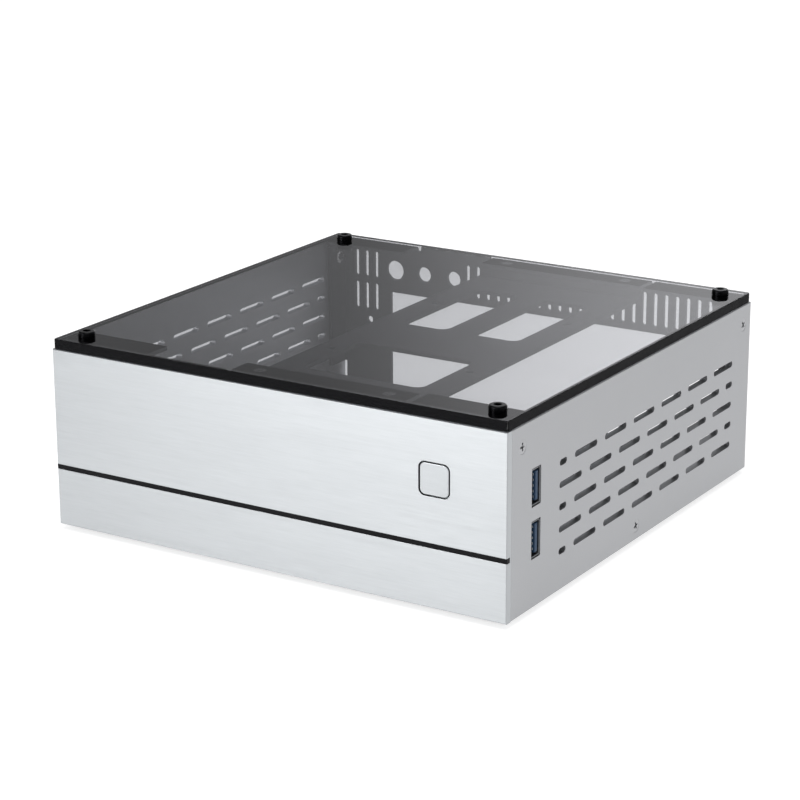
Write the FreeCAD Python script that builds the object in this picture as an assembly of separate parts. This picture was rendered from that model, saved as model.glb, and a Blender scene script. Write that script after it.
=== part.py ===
import FreeCAD, Part
import math
import os

# A small flat computer case for a mini ITX board: brushed front plate with a black inlay and a
# square power button, slotted side plates, a sheet tray, a rear panel with the board's connector
# opening, and a smoked cover that shows the bracket for a 2.5 inch drive.
# Millimetres. +X is the viewer's right, +Y runs to the rear, +Z is up, and the origin is on the
# surface that the feet stand on, under the middle of the case.

# Walls and feet
wall_height = 71.0
foot_height = 2.0

# Mini ITX mainboard that the case is built around, and the room left beside it
board_width = 170.0
board_depth = 170.0
board_left_gap = 21.45
board_right_gap = 2.55
board_front_gap = 21.89
board_rear_gap = 2.11

# Plates and sheets
front_plate_thickness = 3.0
side_plate_thickness = 3.0
sheet_thickness = 1.5
bend_inside_radius = 0.5
cover_thickness = 4.0
cover_setback = 0.4
cover_corner_radius = 1.0
edge_break = 0.3

# Folded flanges and tabs, measured from the outer face of the sheet that carries them
side_flange_height = 12.0
side_flange_end_gap = 15.0
upright_flange_depth = 13.0
upright_flange_foot = 14.0
upright_flange_top_gap = 1.5
corner_tab_length = 39.0
corner_tab_depth = 14.0
bracket_tab_depth = 12.0
rear_foot_flange_depth = 9.0

# Black inlay across the front plate
inlay_height = 2.0
inlay_middle_height = 23.7
inlay_depth = 2.2
inlay_recess = 0.1

# Power button, its switch and the board that carries it
button_size = 12.0
button_corner_radius = 2.1
button_gap = 0.5
button_right_inset = 29.6
button_middle_height = 48.6
button_travel = 1.2
button_collar_overhang = 1.0
button_collar_thickness = 1.0
button_collar_gap = 0.1
collar_window_gap = 0.8
button_stem_radius = 2.5
button_stem_length = 1.3
plunger_radius = 3.3
plunger_length = 3.2
plunger_running_gap = 0.05
plunger_end_gap = 0.3
switch_size = 12.0
switch_depth = 4.0
switch_standoff = 0.4
switch_board_width = 29.0
switch_board_height = 16.0
switch_post_reach = 11.5

# Small boards of the switch and the sockets, and the posts that carry them
small_board_thickness = 1.6
post_radius = 2.5
post_bore_radius = 1.1

# USB sockets in the right side plate
usb_front_inset = 20.8
usb_upper_height = 45.5
usb_lower_height = 25.8
usb_window_height = 14.4
usb_window_width = 6.6
usb_shell_height = 13.2
usb_shell_width = 6.0
usb_shell_wall = 0.4
usb_shell_length = 17.2
usb_shell_recess = 0.3
usb_lip_length = 0.6
usb_lip_overhang = 0.15
usb_tongue_width = 11.1
usb_tongue_thickness = 1.9
usb_tongue_side_gap = 0.55
usb_tongue_recess = 0.2
usb_block_length = 3.0
usb_fit_gap = 0.05
usb_contact_count = 4
usb_contact_width = 1.0
usb_contact_pitch = 2.5
usb_contact_length = 7.5
usb_contact_height = 0.2
usb_contact_recess = 0.8
usb_board_foot = 12.5
usb_board_height = 46.0
usb_board_reach = 18.0
usb_board_side_gap = 1.0
usb_post_inset = 3.0
usb_post_side_gap = 9.0

# Slots of the side plates, laid like bricks inside a window
slot_row_count = 5
slot_row_pitch = 8.5
slot_length = 17.3
slot_pitch = 23.4
slot_width = 2.4
slot_window_front = 38.0
slot_window_rear_inset = 16.0
slot_first_front = 26.0
slot_shortest = 3.0
right_slot_lowest = 15.0
left_slot_lowest = 20.6

# Rear panel: connector opening beside the board's edges, vent slots and round holes from its left edge
io_left_inset = 3.95
io_right_inset = 7.3
io_height = 44.45
io_foot = 4.3
io_corner_radius = 0.8
rear_vent_width = 2.0
rear_vent_pitch = 5.0
rear_vent_first = 67.6
rear_vent_right_inset = 17.4
rear_vent_foot = 51.6
rear_vent_length = 14.3
corner_vent_first = 10.8
corner_vent_columns = 3
corner_vent_length = 12.0
corner_vent_feet = (39.4, 54.2)
power_hole_radius = 4.25
power_hole_left = 30.7
antenna_hole_radius = 3.3
antenna_hole_lefts = (45.6, 60.6)
round_hole_height = 58.8
small_hole_radius = 1.5
small_hole_left = 17.4
small_hole_height = 34.7

# Drive bracket under the cover
bracket_left_inset = 80.5
bracket_border = 11.5
bracket_small_window = 20.0
bracket_middle_rib = 12.0
bracket_drop = 3.5
bracket_window_radius = 4.0
bracket_front_window = (-65.5, -26.0)
bracket_rear_window = (5.7, 65.5)
bracket_end_gap = 0.7
bracket_lap = 8.0
drive_hole_spread = 61.72
drive_hole_length = 76.6
drive_hole_radius = 1.7
bracket_screw_spread = 56.0
bracket_screw_inset = 5.0

# Seats of the mainboard, by the mini ITX hole pattern
board_seat_height = 3.5
board_seat_across = 5.5
board_seat_bore_radius = 1.25
board_hole_left_inset = 6.35
board_hole_right_inset = 6.17
board_hole_front_inset = 4.9
board_hole_rear_inset = 10.16
board_hole_offset = 22.86

# Screws
screw_radius = 1.5
screw_hole_gap = 0.05
cover_screw_inset = 9.5
cover_head_radius = 3.35
cover_head_height = 2.3
cover_head_dome = 0.6
cover_screw_reach = 8.6
cover_nut_radius = 3.2
cover_nut_height = 2.5
hex_socket_across = 2.5
hex_socket_depth = 1.4
flat_head_radius = 2.8
flat_head_height = 1.3
flat_head_recess = 0.1
cross_width = 0.8
cross_length = 3.0
cross_depth = 0.8
side_screw_reach = 6.0
side_nut_radius = 2.8
side_nut_height = 1.2
side_screw_front_inset = 10.4
side_screw_rear_inset = 7.0
side_screw_top_drop = 8.0
side_screw_low_height = 5.8
small_flat_head_radius = 2.4
small_screw_radius = 1.25
small_screw_reach = 3.9
pan_head_radius = 2.4
pan_head_height = 1.5
front_screw_reach = 3.4
front_screw_bite = 2.0
front_screw_spread = 120.0
front_screw_heights = (12.0, 60.0)
post_screw_radius = 1.0
post_screw_reach = 4.5
foot_screw_spread = 120.0
foot_screw_inset = 5.5
foot_screw_reach = 3.6

# Vent slots of the floor
floor_slot_length = 26.0
floor_slot_width = 3.0
floor_slot_pitch = 9.0
floor_slot_columns = 10
floor_slot_rows = (-38.0, 2.0, 42.0)

# Rubber feet
foot_radius = 5.5
foot_tip_radius = 4.8
foot_inset = 16.0

# Places that follow from the sizes
case_width = board_left_gap + board_width + board_right_gap + 2 * side_plate_thickness
case_depth = (front_plate_thickness + sheet_thickness + board_front_gap
              + board_depth + board_rear_gap + sheet_thickness)
left_face = -case_width / 2
right_face = case_width / 2
front_face = -case_depth / 2
rear_face = case_depth / 2
wall_foot = foot_height
wall_top = wall_foot + wall_height
cover_top = wall_top + cover_thickness
side_inner = right_face - side_plate_thickness
tray_front = front_face + front_plate_thickness
tray_inner_front = tray_front + sheet_thickness
rear_inner = rear_face - sheet_thickness
floor_top = wall_foot + sheet_thickness
tab_under = wall_top - sheet_thickness
bend_radius = bend_inside_radius + sheet_thickness
upright_foot = wall_foot + upright_flange_foot
upright_top = tab_under - upright_flange_top_gap
tab_inner_end = side_inner - corner_tab_length
bracket_width = 2 * bracket_border + 2 * bracket_small_window + bracket_middle_rib
bracket_left = left_face + bracket_left_inset
bracket_right = bracket_left + bracket_width
bracket_middle = (bracket_left + bracket_right) / 2
bracket_top = tab_under - bracket_drop
button_x = right_face - button_right_inset
button_z = wall_foot + button_middle_height
usb_y = front_face + usb_front_inset
usb_heights = {"upper": wall_foot + usb_upper_height, "lower": wall_foot + usb_lower_height}
cover_screw_x = right_face - cover_screw_inset
cover_screw_front = front_face + cover_screw_inset
cover_screw_rear = rear_face - cover_screw_inset
flange_inner = side_inner - sheet_thickness
board_left = -side_inner + board_left_gap
board_right = side_inner - board_right_gap
board_front = tray_inner_front + board_front_gap
board_rear = rear_inner - board_rear_gap
slot_window_rear = case_depth - slot_window_rear_inset

LEFT = FreeCAD.Vector(-1, 0, 0)
RIGHT = FreeCAD.Vector(1, 0, 0)
FRONT = FreeCAD.Vector(0, -1, 0)
REAR = FreeCAD.Vector(0, 1, 0)
DOWN = FreeCAD.Vector(0, 0, -1)
UP = FreeCAD.Vector(0, 0, 1)


def at(x, y, z):
    """A point in the case's frame."""
    return FreeCAD.Vector(x, y, z)


def span_box(x_span, y_span, z_span):
    """Box that fills three spans."""
    low = at(min(x_span), min(y_span), min(z_span))
    size = [max(span) - min(span) for span in (x_span, y_span, z_span)]
    return Part.makeBox(size[0], size[1], size[2], low)


def joined(shapes):
    """One solid from pieces that share faces or overlap."""
    return shapes[0].multiFuse(shapes[1:]).removeSplitter()


def rounded_outline(length, width, radius):
    """Closed outline of a rectangle with round corners, about its own middle."""
    reach_x = length / 2 - radius
    reach_y = width / 2 - radius
    corners = [(reach_x, reach_y), (-reach_x, reach_y), (-reach_x, -reach_y), (reach_x, -reach_y)]
    arcs = []
    for turn, (middle_x, middle_y) in enumerate(corners):
        circle = Part.Circle(at(middle_x, middle_y, 0), UP, radius)
        start = turn * math.pi / 2
        arcs.append(Part.ArcOfCircle(circle, start, start + math.pi / 2).toShape())
    edges = []
    for turn, arc in enumerate(arcs):
        edges.append(arc)
        next_start = arcs[(turn + 1) % 4].valueAt(arcs[(turn + 1) % 4].FirstParameter)
        this_end = arc.valueAt(arc.LastParameter)
        if this_end.distanceToPoint(next_start) > 1e-6:
            edges.append(Part.makeLine(this_end, next_start))
    return Part.Wire(edges)


def rounded_prism(middle, along, through, length, width, radius, depth):
    """Prism with round corners: its length runs along one axis, its depth through another."""
    prism = Part.Face(rounded_outline(length, width, radius)).extrude(at(0, 0, depth))
    prism.translate(at(0, 0, -depth / 2))
    turn = FreeCAD.Rotation(along, through.cross(along), through, "ZXY")
    prism.Placement = FreeCAD.Placement(middle, turn).multiply(prism.Placement)
    return prism


def slot_cutter(middle, along, through, length, width, depth):
    """Cutter for a slot with round ends."""
    return rounded_prism(middle, along, through, length, width, width / 2, depth)


def hex_prism(base, axis, across, height):
    """Six-sided prism that stands on a base point."""
    corner = across / math.sqrt(3)
    turns = [k * math.pi / 3 for k in range(7)]
    points = [at(corner * math.cos(turn), corner * math.sin(turn), 0) for turn in turns]
    prism = Part.Face(Part.makePolygon(points)).extrude(at(0, 0, height))
    prism.Placement = FreeCAD.Placement(base, FreeCAD.Rotation(UP, axis))
    return prism


def fold(corner, along, first, second, length, first_leg, second_leg):
    """Folded strip: two legs of sheet from an outer corner, with the bend's radii between them."""
    inner = bend_radius - sheet_thickness
    diagonal = math.sqrt(0.5)

    def point(first_way, second_way):
        return corner + first * first_way + second * second_way

    def arc(radius):
        middle_way = bend_radius - radius * diagonal
        start = point(bend_radius, bend_radius - radius)
        end = point(bend_radius - radius, bend_radius)
        return Part.Arc(start, point(middle_way, middle_way), end).toShape()

    edges = [
        Part.makeLine(point(first_leg, 0), point(bend_radius, 0)),
        arc(bend_radius),
        Part.makeLine(point(0, bend_radius), point(0, second_leg)),
        Part.makeLine(point(0, second_leg), point(sheet_thickness, second_leg)),
        Part.makeLine(point(sheet_thickness, second_leg), point(sheet_thickness, bend_radius)),
        arc(inner),
        Part.makeLine(point(bend_radius, sheet_thickness), point(first_leg, sheet_thickness)),
        Part.makeLine(point(first_leg, sheet_thickness), point(first_leg, 0)),
    ]
    outline = Part.Wire(Part.__sortEdges__(edges))
    return Part.Face(outline).extrude(along * length)


def break_face_edges(plate, side, direction):
    """Chamfers the outline of a plate's face that lies on the given side."""
    edges = []
    for edge in plate.Edges:
        if all(abs(vertex.Point.dot(direction) - side) < 1e-6 for vertex in edge.Vertexes):
            edges.append(edge)
    return plate.makeChamfer(edge_break, edges)


def screw_hole(point, direction, reach, radius=screw_radius):
    """Cutter for a hole that a screw passes."""
    return Part.makeCylinder(radius + screw_hole_gap, reach, point, direction)


def head_seat(point, direction, radius, height):
    """Cutter for the conical seat of a flat head, from the face inwards."""
    return Part.makeCone(radius, radius - height, height, point, direction)


def cross_recess(top):
    """Cutter for a cross recess in a head whose top is at this height."""
    middle = at(0, 0, top)
    radius = cross_width / 4
    bars = [
        rounded_prism(middle, along, UP, cross_length, cross_width, radius, 2 * cross_depth)
        for along in (RIGHT, REAR)
    ]
    return bars[0].fuse(bars[1])


def placed_screw(screw, point, direction):
    """Turns a screw that points down so that its shank points in a direction from a face point."""
    screw.Placement = FreeCAD.Placement(point, FreeCAD.Rotation(DOWN, direction))
    return screw


def flat_head_screw(point, direction, reach, head_radius=flat_head_radius, radius=screw_radius):
    """Countersunk screw with a cross recess, its head just under the face."""
    head_top = -flat_head_recess
    head_height = head_radius - radius - flat_head_recess
    head = Part.makeCone(head_radius - flat_head_recess, radius, head_height, at(0, 0, head_top), DOWN)
    shank = Part.makeCylinder(radius, reach + head_top, at(0, 0, head_top), DOWN)
    screw = head.fuse(shank).removeSplitter().cut(cross_recess(head_top))
    return placed_screw(screw, point, direction)


def pan_head_screw(point, direction, reach, head_radius=pan_head_radius, radius=screw_radius):
    """Screw with a low round head that stands on a face."""
    head = Part.makeCylinder(head_radius, pan_head_height)
    rim = [edge for edge in head.Edges if abs(edge.BoundBox.ZMin - pan_head_height) < 1e-6]
    head = head.makeFillet(pan_head_height / 2, rim)
    shank = Part.makeCylinder(radius, reach, at(0, 0, 0), DOWN)
    screw = head.fuse(shank).removeSplitter().cut(cross_recess(pan_head_height))
    return placed_screw(screw, point, direction)


def cover_screw(x, y):
    """Black screw of the cover: a low domed head with a hexagon socket."""
    shoulder = cover_head_height - cover_head_dome
    crown_radius = cover_head_radius - cover_head_dome
    diagonal = math.sqrt(0.5) * cover_head_dome
    rim = Part.Arc(
        at(cover_head_radius, 0, shoulder),
        at(crown_radius + diagonal, 0, shoulder + diagonal),
        at(crown_radius, 0, cover_head_height),
    ).toShape()
    lines = Part.makePolygon([
        at(crown_radius, 0, cover_head_height),
        at(0, 0, cover_head_height),
        at(0, 0, -cover_screw_reach),
        at(screw_radius, 0, -cover_screw_reach),
        at(screw_radius, 0, 0),
        at(cover_head_radius, 0, 0),
        at(cover_head_radius, 0, shoulder),
    ])
    profile = Part.Face(Part.Wire([rim] + lines.Edges))
    screw = profile.revolve(at(0, 0, 0), UP, 360)
    socket_floor = at(0, 0, cover_head_height - hex_socket_depth)
    screw = screw.cut(hex_prism(socket_floor, UP, hex_socket_across, hex_socket_depth))
    screw.translate(at(x, y, cover_top))
    return screw


def ring(base, axis, outer, bore, height):
    """Plain ring, such as a clinch nut or a tube."""
    return Part.makeCylinder(outer, height, base, axis).cut(Part.makeCylinder(bore, height, base, axis))


def cover_screw_places():
    """The four places of the cover's screws, by corner name."""
    return {
        "front_left": (-cover_screw_x, cover_screw_front),
        "front_right": (cover_screw_x, cover_screw_front),
        "rear_left": (-cover_screw_x, cover_screw_rear),
        "rear_right": (cover_screw_x, cover_screw_rear),
    }


def side_screw_places():
    """Depth and height of the three screws of each side plate."""
    high = wall_top - side_screw_top_drop
    low = wall_foot + side_screw_low_height
    return [
        (front_face + side_screw_front_inset, high),
        (rear_face - side_screw_rear_inset, high),
        (0.0, low),
    ]


def front_screw_places():
    """Width and height of the screws that hold the front plate from inside."""
    half = front_screw_spread / 2
    return [(x, wall_foot + height) for x in (-half, half) for height in front_screw_heights]


def bracket_screw_places():
    """Width and depth of the screws at the bracket's ends."""
    half = bracket_screw_spread / 2
    depths = (tray_inner_front + bracket_screw_inset, rear_inner - bracket_screw_inset)
    return [(bracket_middle + side * half, y) for side in (-1, 1) for y in depths]


def foot_screw_places():
    """Width of the screws that join floor and rear panel."""
    half = foot_screw_spread / 2
    return [-half, 0.0, half]


def board_seat_places():
    """The four mainboard seats, by the mini ITX pattern."""
    left_hole = board_left + board_hole_left_inset
    right_hole = board_right - board_hole_right_inset
    front_row = board_front + board_hole_front_inset
    rear_row = board_rear - board_hole_rear_inset
    return [
        (left_hole, rear_row),
        (left_hole, front_row),
        (right_hole, rear_row - board_hole_offset),
        (right_hole, front_row),
    ]


def slot_spans(row):
    """Start and end of each slot of a side plate's row, from the case's front."""
    spans = []
    start = slot_first_front
    if row % 2:
        start -= slot_pitch / 2
    while start < slot_window_rear:
        low = max(start, slot_window_front)
        high = min(start + slot_length, slot_window_rear)
        if high - low > slot_shortest:
            spans.append((low, high))
        start += slot_pitch
    return spans


def side_slot_cutters(side, lowest):
    """Cutters for the brick pattern of slots in one side plate."""
    cutters = []
    x = side * (side_inner + side_plate_thickness / 2)
    for row in range(slot_row_count):
        z = wall_foot + lowest + row * slot_row_pitch
        for low, high in slot_spans(row):
            middle = at(x, front_face + (low + high) / 2, z)
            depth = 2 * side_plate_thickness
            cutters.append(slot_cutter(middle, REAR, RIGHT, high - low, slot_width, depth))
    return cutters


def side_plate(side, lowest, windows):
    """Flat side plate with its slots, its screw seats and any windows."""
    face = side * right_face
    inward = LEFT * side
    plate = span_box((side * side_inner, face), (tray_front, rear_face), (wall_foot, wall_top))
    plate = break_face_edges(plate, right_face, RIGHT * side)
    cutters = side_slot_cutters(side, lowest)
    for y, z in side_screw_places():
        cutters.append(screw_hole(at(face, y, z), inward, side_plate_thickness))
        cutters.append(head_seat(at(face, y, z), inward, flat_head_radius, flat_head_height))
    for z in windows:
        middle = at(face, usb_y, z)
        cutters.append(rounded_prism(middle, UP, RIGHT, usb_window_height, usb_window_width, edge_break,
                                     4 * side_plate_thickness))
    return plate.cut(cutters)


def front_plate():
    """Thick brushed plate with the inlay's groove, the button's opening and blind screw holes."""
    plate = span_box((left_face, right_face), (front_face, tray_front), (wall_foot, wall_top))
    plate = break_face_edges(plate, -front_face, FRONT)
    groove_foot = wall_foot + inlay_middle_height - inlay_height / 2
    groove = span_box((left_face, right_face), (front_face, front_face + inlay_depth),
                      (groove_foot, groove_foot + inlay_height))
    opening = button_size + 2 * button_gap
    cutters = [
        groove,
        rounded_prism(at(button_x, front_face, button_z), RIGHT, REAR, opening, opening,
                      button_corner_radius + button_gap, 4 * front_plate_thickness),
    ]
    for x, z in front_screw_places():
        cutters.append(screw_hole(at(x, tray_front, z), FRONT, front_screw_bite))
    return plate.cut(cutters)


def inlay():
    """Black strip that fills the front plate's groove from edge to edge."""
    foot = wall_foot + inlay_middle_height - inlay_height / 2
    return span_box((left_face, right_face), (front_face + inlay_recess, front_face + inlay_depth),
                    (foot, foot + inlay_height))


def top_tabs(face, inward, width_axis):
    """Tabs folded inwards at a wall's top: one in each corner and one for the drive bracket."""
    wall_leg = 2 * bend_radius
    tabs = []
    for start, end, depth in (
        (-side_inner, -tab_inner_end, corner_tab_depth),
        (tab_inner_end, side_inner, corner_tab_depth),
        (bracket_left, bracket_right, bracket_tab_depth),
    ):
        tabs.append(fold(at(start, face, wall_top), width_axis, DOWN, inward, end - start, wall_leg, depth))
    return tabs


def wall_sheet(face, inner, foot):
    """Flat of a folded wall, with the edge between the tabs brought up to the cover."""
    half = side_inner - bend_radius
    flat = span_box((-half, half), (face, inner), (foot, wall_top - bend_radius))
    left_crest = span_box((-tab_inner_end + bend_radius, bracket_left - bend_radius), (face, inner),
                          (wall_top - 2 * bend_radius, wall_top))
    return [flat, left_crest]


def upright_flanges(face, inward):
    """Flanges folded inwards at the two upright edges of a wall, which the side plates screw to."""
    height = upright_top - upright_foot
    flanges = []
    for side in (-1, 1):
        corner = at(side * side_inner, face, upright_foot)
        flanges.append(fold(corner, UP, LEFT * side, inward, height, 2 * bend_radius, upright_flange_depth))
    return flanges


def tab_screw_cutters(front):
    """Holes of the cover's screws and seats of the bracket's screws in a wall's tabs."""
    cutters = []
    seat_height = small_flat_head_radius - small_screw_radius
    for x, y in cover_screw_places().values():
        if (y < 0) == front:
            cutters.append(screw_hole(at(x, y, wall_top), DOWN, sheet_thickness))
    for x, y in bracket_screw_places():
        if (y < 0) == front:
            top = at(x, y, wall_top)
            cutters.append(screw_hole(top, DOWN, sheet_thickness, small_screw_radius))
            cutters.append(head_seat(top, DOWN, small_flat_head_radius, seat_height))
    return cutters


def side_screw_holes(low_only):
    """Holes of the side plates' screws in the flanges behind them."""
    cutters = []
    for side in (-1, 1):
        for y, z in side_screw_places():
            if low_only and z > upright_foot:
                continue
            cutters.append(screw_hole(at(side * side_inner, y, z), LEFT * side, sheet_thickness))
    return cutters


def base_tray():
    """Floor and front wall folded from one sheet, with low side flanges and tabs at the top."""
    half = side_inner - bend_radius
    floor = span_box((-half, half), (tray_front + bend_radius, rear_face), (wall_foot, floor_top))
    leg = 2 * bend_radius
    front_bend = fold(at(-half, tray_front, wall_foot), RIGHT, REAR, UP, 2 * half, leg, leg)
    shapes = [floor, front_bend]
    shapes += wall_sheet(tray_front, tray_inner_front, wall_foot + bend_radius)
    shapes += top_tabs(tray_front, REAR, RIGHT)
    shapes += upright_flanges(tray_front, REAR)
    flange_front = tray_front + side_flange_end_gap
    flange_rear = rear_face - side_flange_end_gap
    for side in (-1, 1):
        corner = at(side * side_inner, flange_front, wall_foot)
        length = flange_rear - flange_front
        shapes.append(fold(corner, REAR, LEFT * side, UP, length, leg, side_flange_height))
    tray = joined(shapes)
    window = button_size + 2 * (button_collar_overhang + collar_window_gap)
    cutters = [
        rounded_prism(at(button_x, tray_front, button_z), RIGHT, REAR, window, window,
                      button_corner_radius, 4 * sheet_thickness),
    ]
    cutters += tab_screw_cutters(True)
    cutters += side_screw_holes(False)
    for x, z in front_screw_places():
        cutters.append(screw_hole(at(x, tray_front, z), REAR, sheet_thickness))
    seat_height = small_flat_head_radius - small_screw_radius
    for x in foot_screw_places():
        below = at(x, rear_face - foot_screw_inset, wall_foot)
        cutters.append(screw_hole(below, UP, sheet_thickness, small_screw_radius))
        cutters.append(head_seat(below, UP, small_flat_head_radius, seat_height))
    for column in range(floor_slot_columns):
        x = (column - (floor_slot_columns - 1) / 2) * floor_slot_pitch
        for y in floor_slot_rows:
            middle = at(x, y, wall_foot + sheet_thickness / 2)
            depth = 2 * sheet_thickness
            cutters.append(slot_cutter(middle, REAR, UP, floor_slot_length, floor_slot_width, depth))
    return tray.cut(cutters)


def rear_panel():
    """Rear wall with the connector opening, vents and round holes, folded in on all sides."""
    shapes = wall_sheet(rear_face, rear_inner, floor_top + bend_radius)
    shapes += top_tabs(rear_face, FRONT, RIGHT)
    shapes += upright_flanges(rear_face, FRONT)
    half = side_inner - bend_radius
    shapes.append(fold(at(-half, rear_face, floor_top), RIGHT, UP, FRONT, 2 * half, 2 * bend_radius,
                       rear_foot_flange_depth))
    panel = joined(shapes)
    wall_middle = rear_face - sheet_thickness / 2
    through = 2 * sheet_thickness
    io_left = board_left + io_left_inset
    io_right = board_right - io_right_inset
    io_width = io_right - io_left
    io_middle = at((io_left + io_right) / 2, wall_middle, wall_foot + io_foot + io_height / 2)
    cutters = [rounded_prism(io_middle, RIGHT, REAR, io_width, io_height, io_corner_radius, through)]
    vent_span = case_width - rear_vent_right_inset - rear_vent_first
    vent_count = int(vent_span / rear_vent_pitch + 0.01) + 1
    for column in range(vent_count):
        x = left_face + rear_vent_first + column * rear_vent_pitch
        middle = at(x, wall_middle, wall_foot + rear_vent_foot + rear_vent_length / 2)
        cutters.append(slot_cutter(middle, UP, REAR, rear_vent_length, rear_vent_width, through))
    for column in range(corner_vent_columns):
        x = left_face + corner_vent_first + column * rear_vent_pitch
        for foot in corner_vent_feet:
            middle = at(x, wall_middle, wall_foot + foot + corner_vent_length / 2)
            cutters.append(slot_cutter(middle, UP, REAR, corner_vent_length, rear_vent_width, through))
    holes = [(power_hole_left, round_hole_height, power_hole_radius)]
    holes += [(left, round_hole_height, antenna_hole_radius) for left in antenna_hole_lefts]
    holes.append((small_hole_left, small_hole_height, small_hole_radius))
    for left, height, radius in holes:
        start = at(left_face + left, rear_inner, wall_foot + height)
        cutters.append(Part.makeCylinder(radius, sheet_thickness, start, REAR))
    cutters += tab_screw_cutters(False)
    cutters += side_screw_holes(False)
    for x in foot_screw_places():
        start = at(x, rear_face - foot_screw_inset, floor_top)
        cutters.append(screw_hole(start, UP, sheet_thickness, small_screw_radius))
    return panel.cut(cutters)


def top_cover():
    """Smoked sheet with rounded corners, broken edges and four screw holes."""
    middle = at(0, 0, wall_top + cover_thickness / 2)
    cover = rounded_prism(middle, RIGHT, UP, case_width - 2 * cover_setback, case_depth - 2 * cover_setback,
                          cover_corner_radius, cover_thickness)
    cover = break_face_edges(cover, cover_top, UP)
    cutters = [screw_hole(at(x, y, wall_top), UP, cover_thickness) for x, y in cover_screw_places().values()]
    return cover.cut(cutters)


def round_folds(sheet, folds, radius):
    """Rounds the edges across a folded sheet that pass through these depth and height places."""
    edges = []
    for y, z in folds:
        for edge in sheet.Edges:
            if all(math.hypot(vertex.Y - y, vertex.Z - z) < 1e-6 for vertex in edge.Vertexes):
                edges.append(edge)
    return sheet.makeFillet(radius, edges)


def drive_bracket():
    """Sheet bridge from front to rear: raised ends under the tabs, three windows, drive screw holes."""
    slant = bracket_drop
    shift = sheet_thickness * math.tan(math.pi / 8)
    front_end = tray_inner_front + bracket_end_gap
    rear_end = rear_inner - bracket_end_gap
    front_step = front_end + bracket_lap
    rear_step = rear_end - bracket_lap
    upper = [
        (front_end, tab_under),
        (front_step, tab_under),
        (front_step + slant, bracket_top),
        (rear_step - slant, bracket_top),
        (rear_step, tab_under),
        (rear_end, tab_under),
    ]
    lower = [
        (rear_end, tab_under - sheet_thickness),
        (rear_step + shift, tab_under - sheet_thickness),
        (rear_step - slant + shift, bracket_top - sheet_thickness),
        (front_step + slant - shift, bracket_top - sheet_thickness),
        (front_step - shift, tab_under - sheet_thickness),
        (front_end, tab_under - sheet_thickness),
    ]
    points = [at(bracket_left, y, z) for y, z in upper + lower + upper[:1]]
    bridge = Part.Face(Part.makePolygon(points)).extrude(RIGHT * bracket_width)
    outside_folds = [upper[1], upper[4], lower[2], lower[3]]
    inside_folds = [upper[2], upper[3], lower[1], lower[4]]
    bridge = round_folds(bridge, outside_folds, bend_radius)
    bridge = round_folds(bridge, inside_folds, bend_inside_radius)
    inner_left = bracket_left + bracket_border
    inner_right = bracket_right - bracket_border
    windows = [
        (inner_left, inner_right, bracket_front_window),
        (inner_left, inner_left + bracket_small_window, bracket_rear_window),
        (inner_right - bracket_small_window, inner_right, bracket_rear_window),
    ]
    cutters = []
    for low, high, (near, far) in windows:
        middle = at((low + high) / 2, (near + far) / 2, bracket_top)
        cutters.append(rounded_prism(middle, RIGHT, UP, high - low, far - near, bracket_window_radius,
                                     4 * sheet_thickness))
    for side in (-1, 1):
        for end in (-1, 1):
            x = bracket_middle + side * drive_hole_spread / 2
            start = at(x, end * drive_hole_length / 2, bracket_top)
            cutters.append(Part.makeCylinder(drive_hole_radius, sheet_thickness, start, DOWN))
    for x, y in bracket_screw_places():
        cutters.append(screw_hole(at(x, y, tab_under), DOWN, sheet_thickness, small_screw_radius))
    return bridge.cut(cutters)


def power_button():
    """Square cap flush with the plate, a collar that keeps it in, and the stem that meets the switch."""
    collar_start = tray_front + button_collar_gap
    cap_depth = collar_start - front_face
    cap = rounded_prism(at(button_x, front_face + cap_depth / 2, button_z), RIGHT, REAR,
                        button_size, button_size, button_corner_radius, cap_depth)
    cap = break_face_edges(cap, -front_face, FRONT)
    collar_size = button_size + 2 * button_collar_overhang
    collar = rounded_prism(at(button_x, collar_start + button_collar_thickness / 2, button_z), RIGHT, REAR,
                           collar_size, collar_size, button_corner_radius, button_collar_thickness)
    stem = Part.makeCylinder(button_stem_radius, button_stem_length,
                             at(button_x, collar_start + button_collar_thickness, button_z), REAR)
    return joined([cap, collar, stem])


def stem_end():
    """Depth at which the button's stem meets the switch's plunger."""
    return tray_front + button_collar_gap + button_collar_thickness + button_stem_length


def switch_front():
    """Depth of the switch body's front face, clear of the pressed stem."""
    return stem_end() + button_travel + switch_standoff


def switch_plunger():
    """Round plunger that slides in the switch body."""
    return Part.makeCylinder(plunger_radius, plunger_length, at(button_x, stem_end(), button_z), REAR)


def switch_body():
    """Square switch body with the plunger's bore."""
    front = switch_front()
    half = switch_size / 2
    body = span_box((button_x - half, button_x + half), (front, front + switch_depth),
                    (button_z - half, button_z + half))
    bore_end = stem_end() + plunger_length + button_travel + plunger_end_gap
    bore_mouth = at(button_x, front, button_z)
    bore = Part.makeCylinder(plunger_radius + plunger_running_gap, bore_end - front, bore_mouth, REAR)
    return body.cut(bore)


def board_holes(places, front):
    """Cutters for a small board's screw holes."""
    thickness = small_board_thickness
    return [screw_hole(at(x, front, z), REAR, thickness, post_screw_radius) for x, z in places]


def switch_board_front():
    """Depth of the switch board's front face."""
    return switch_front() + switch_depth


def switch_board():
    """Board behind the switch, with two screw holes."""
    front = switch_board_front()
    half = switch_board_width / 2
    board = span_box((button_x - half, button_x + half), (front, front + small_board_thickness),
                     (button_z - switch_board_height / 2, button_z + switch_board_height / 2))
    return board.cut(board_holes(switch_post_places(), front))


def switch_post_places():
    """Width and height of the switch board's posts."""
    return [(button_x - switch_post_reach, button_z), (button_x + switch_post_reach, button_z)]


def usb_board_front():
    """Depth of the USB board's front face: the shells stand on its rear face."""
    return usb_y - usb_shell_width / 2 - small_board_thickness


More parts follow.
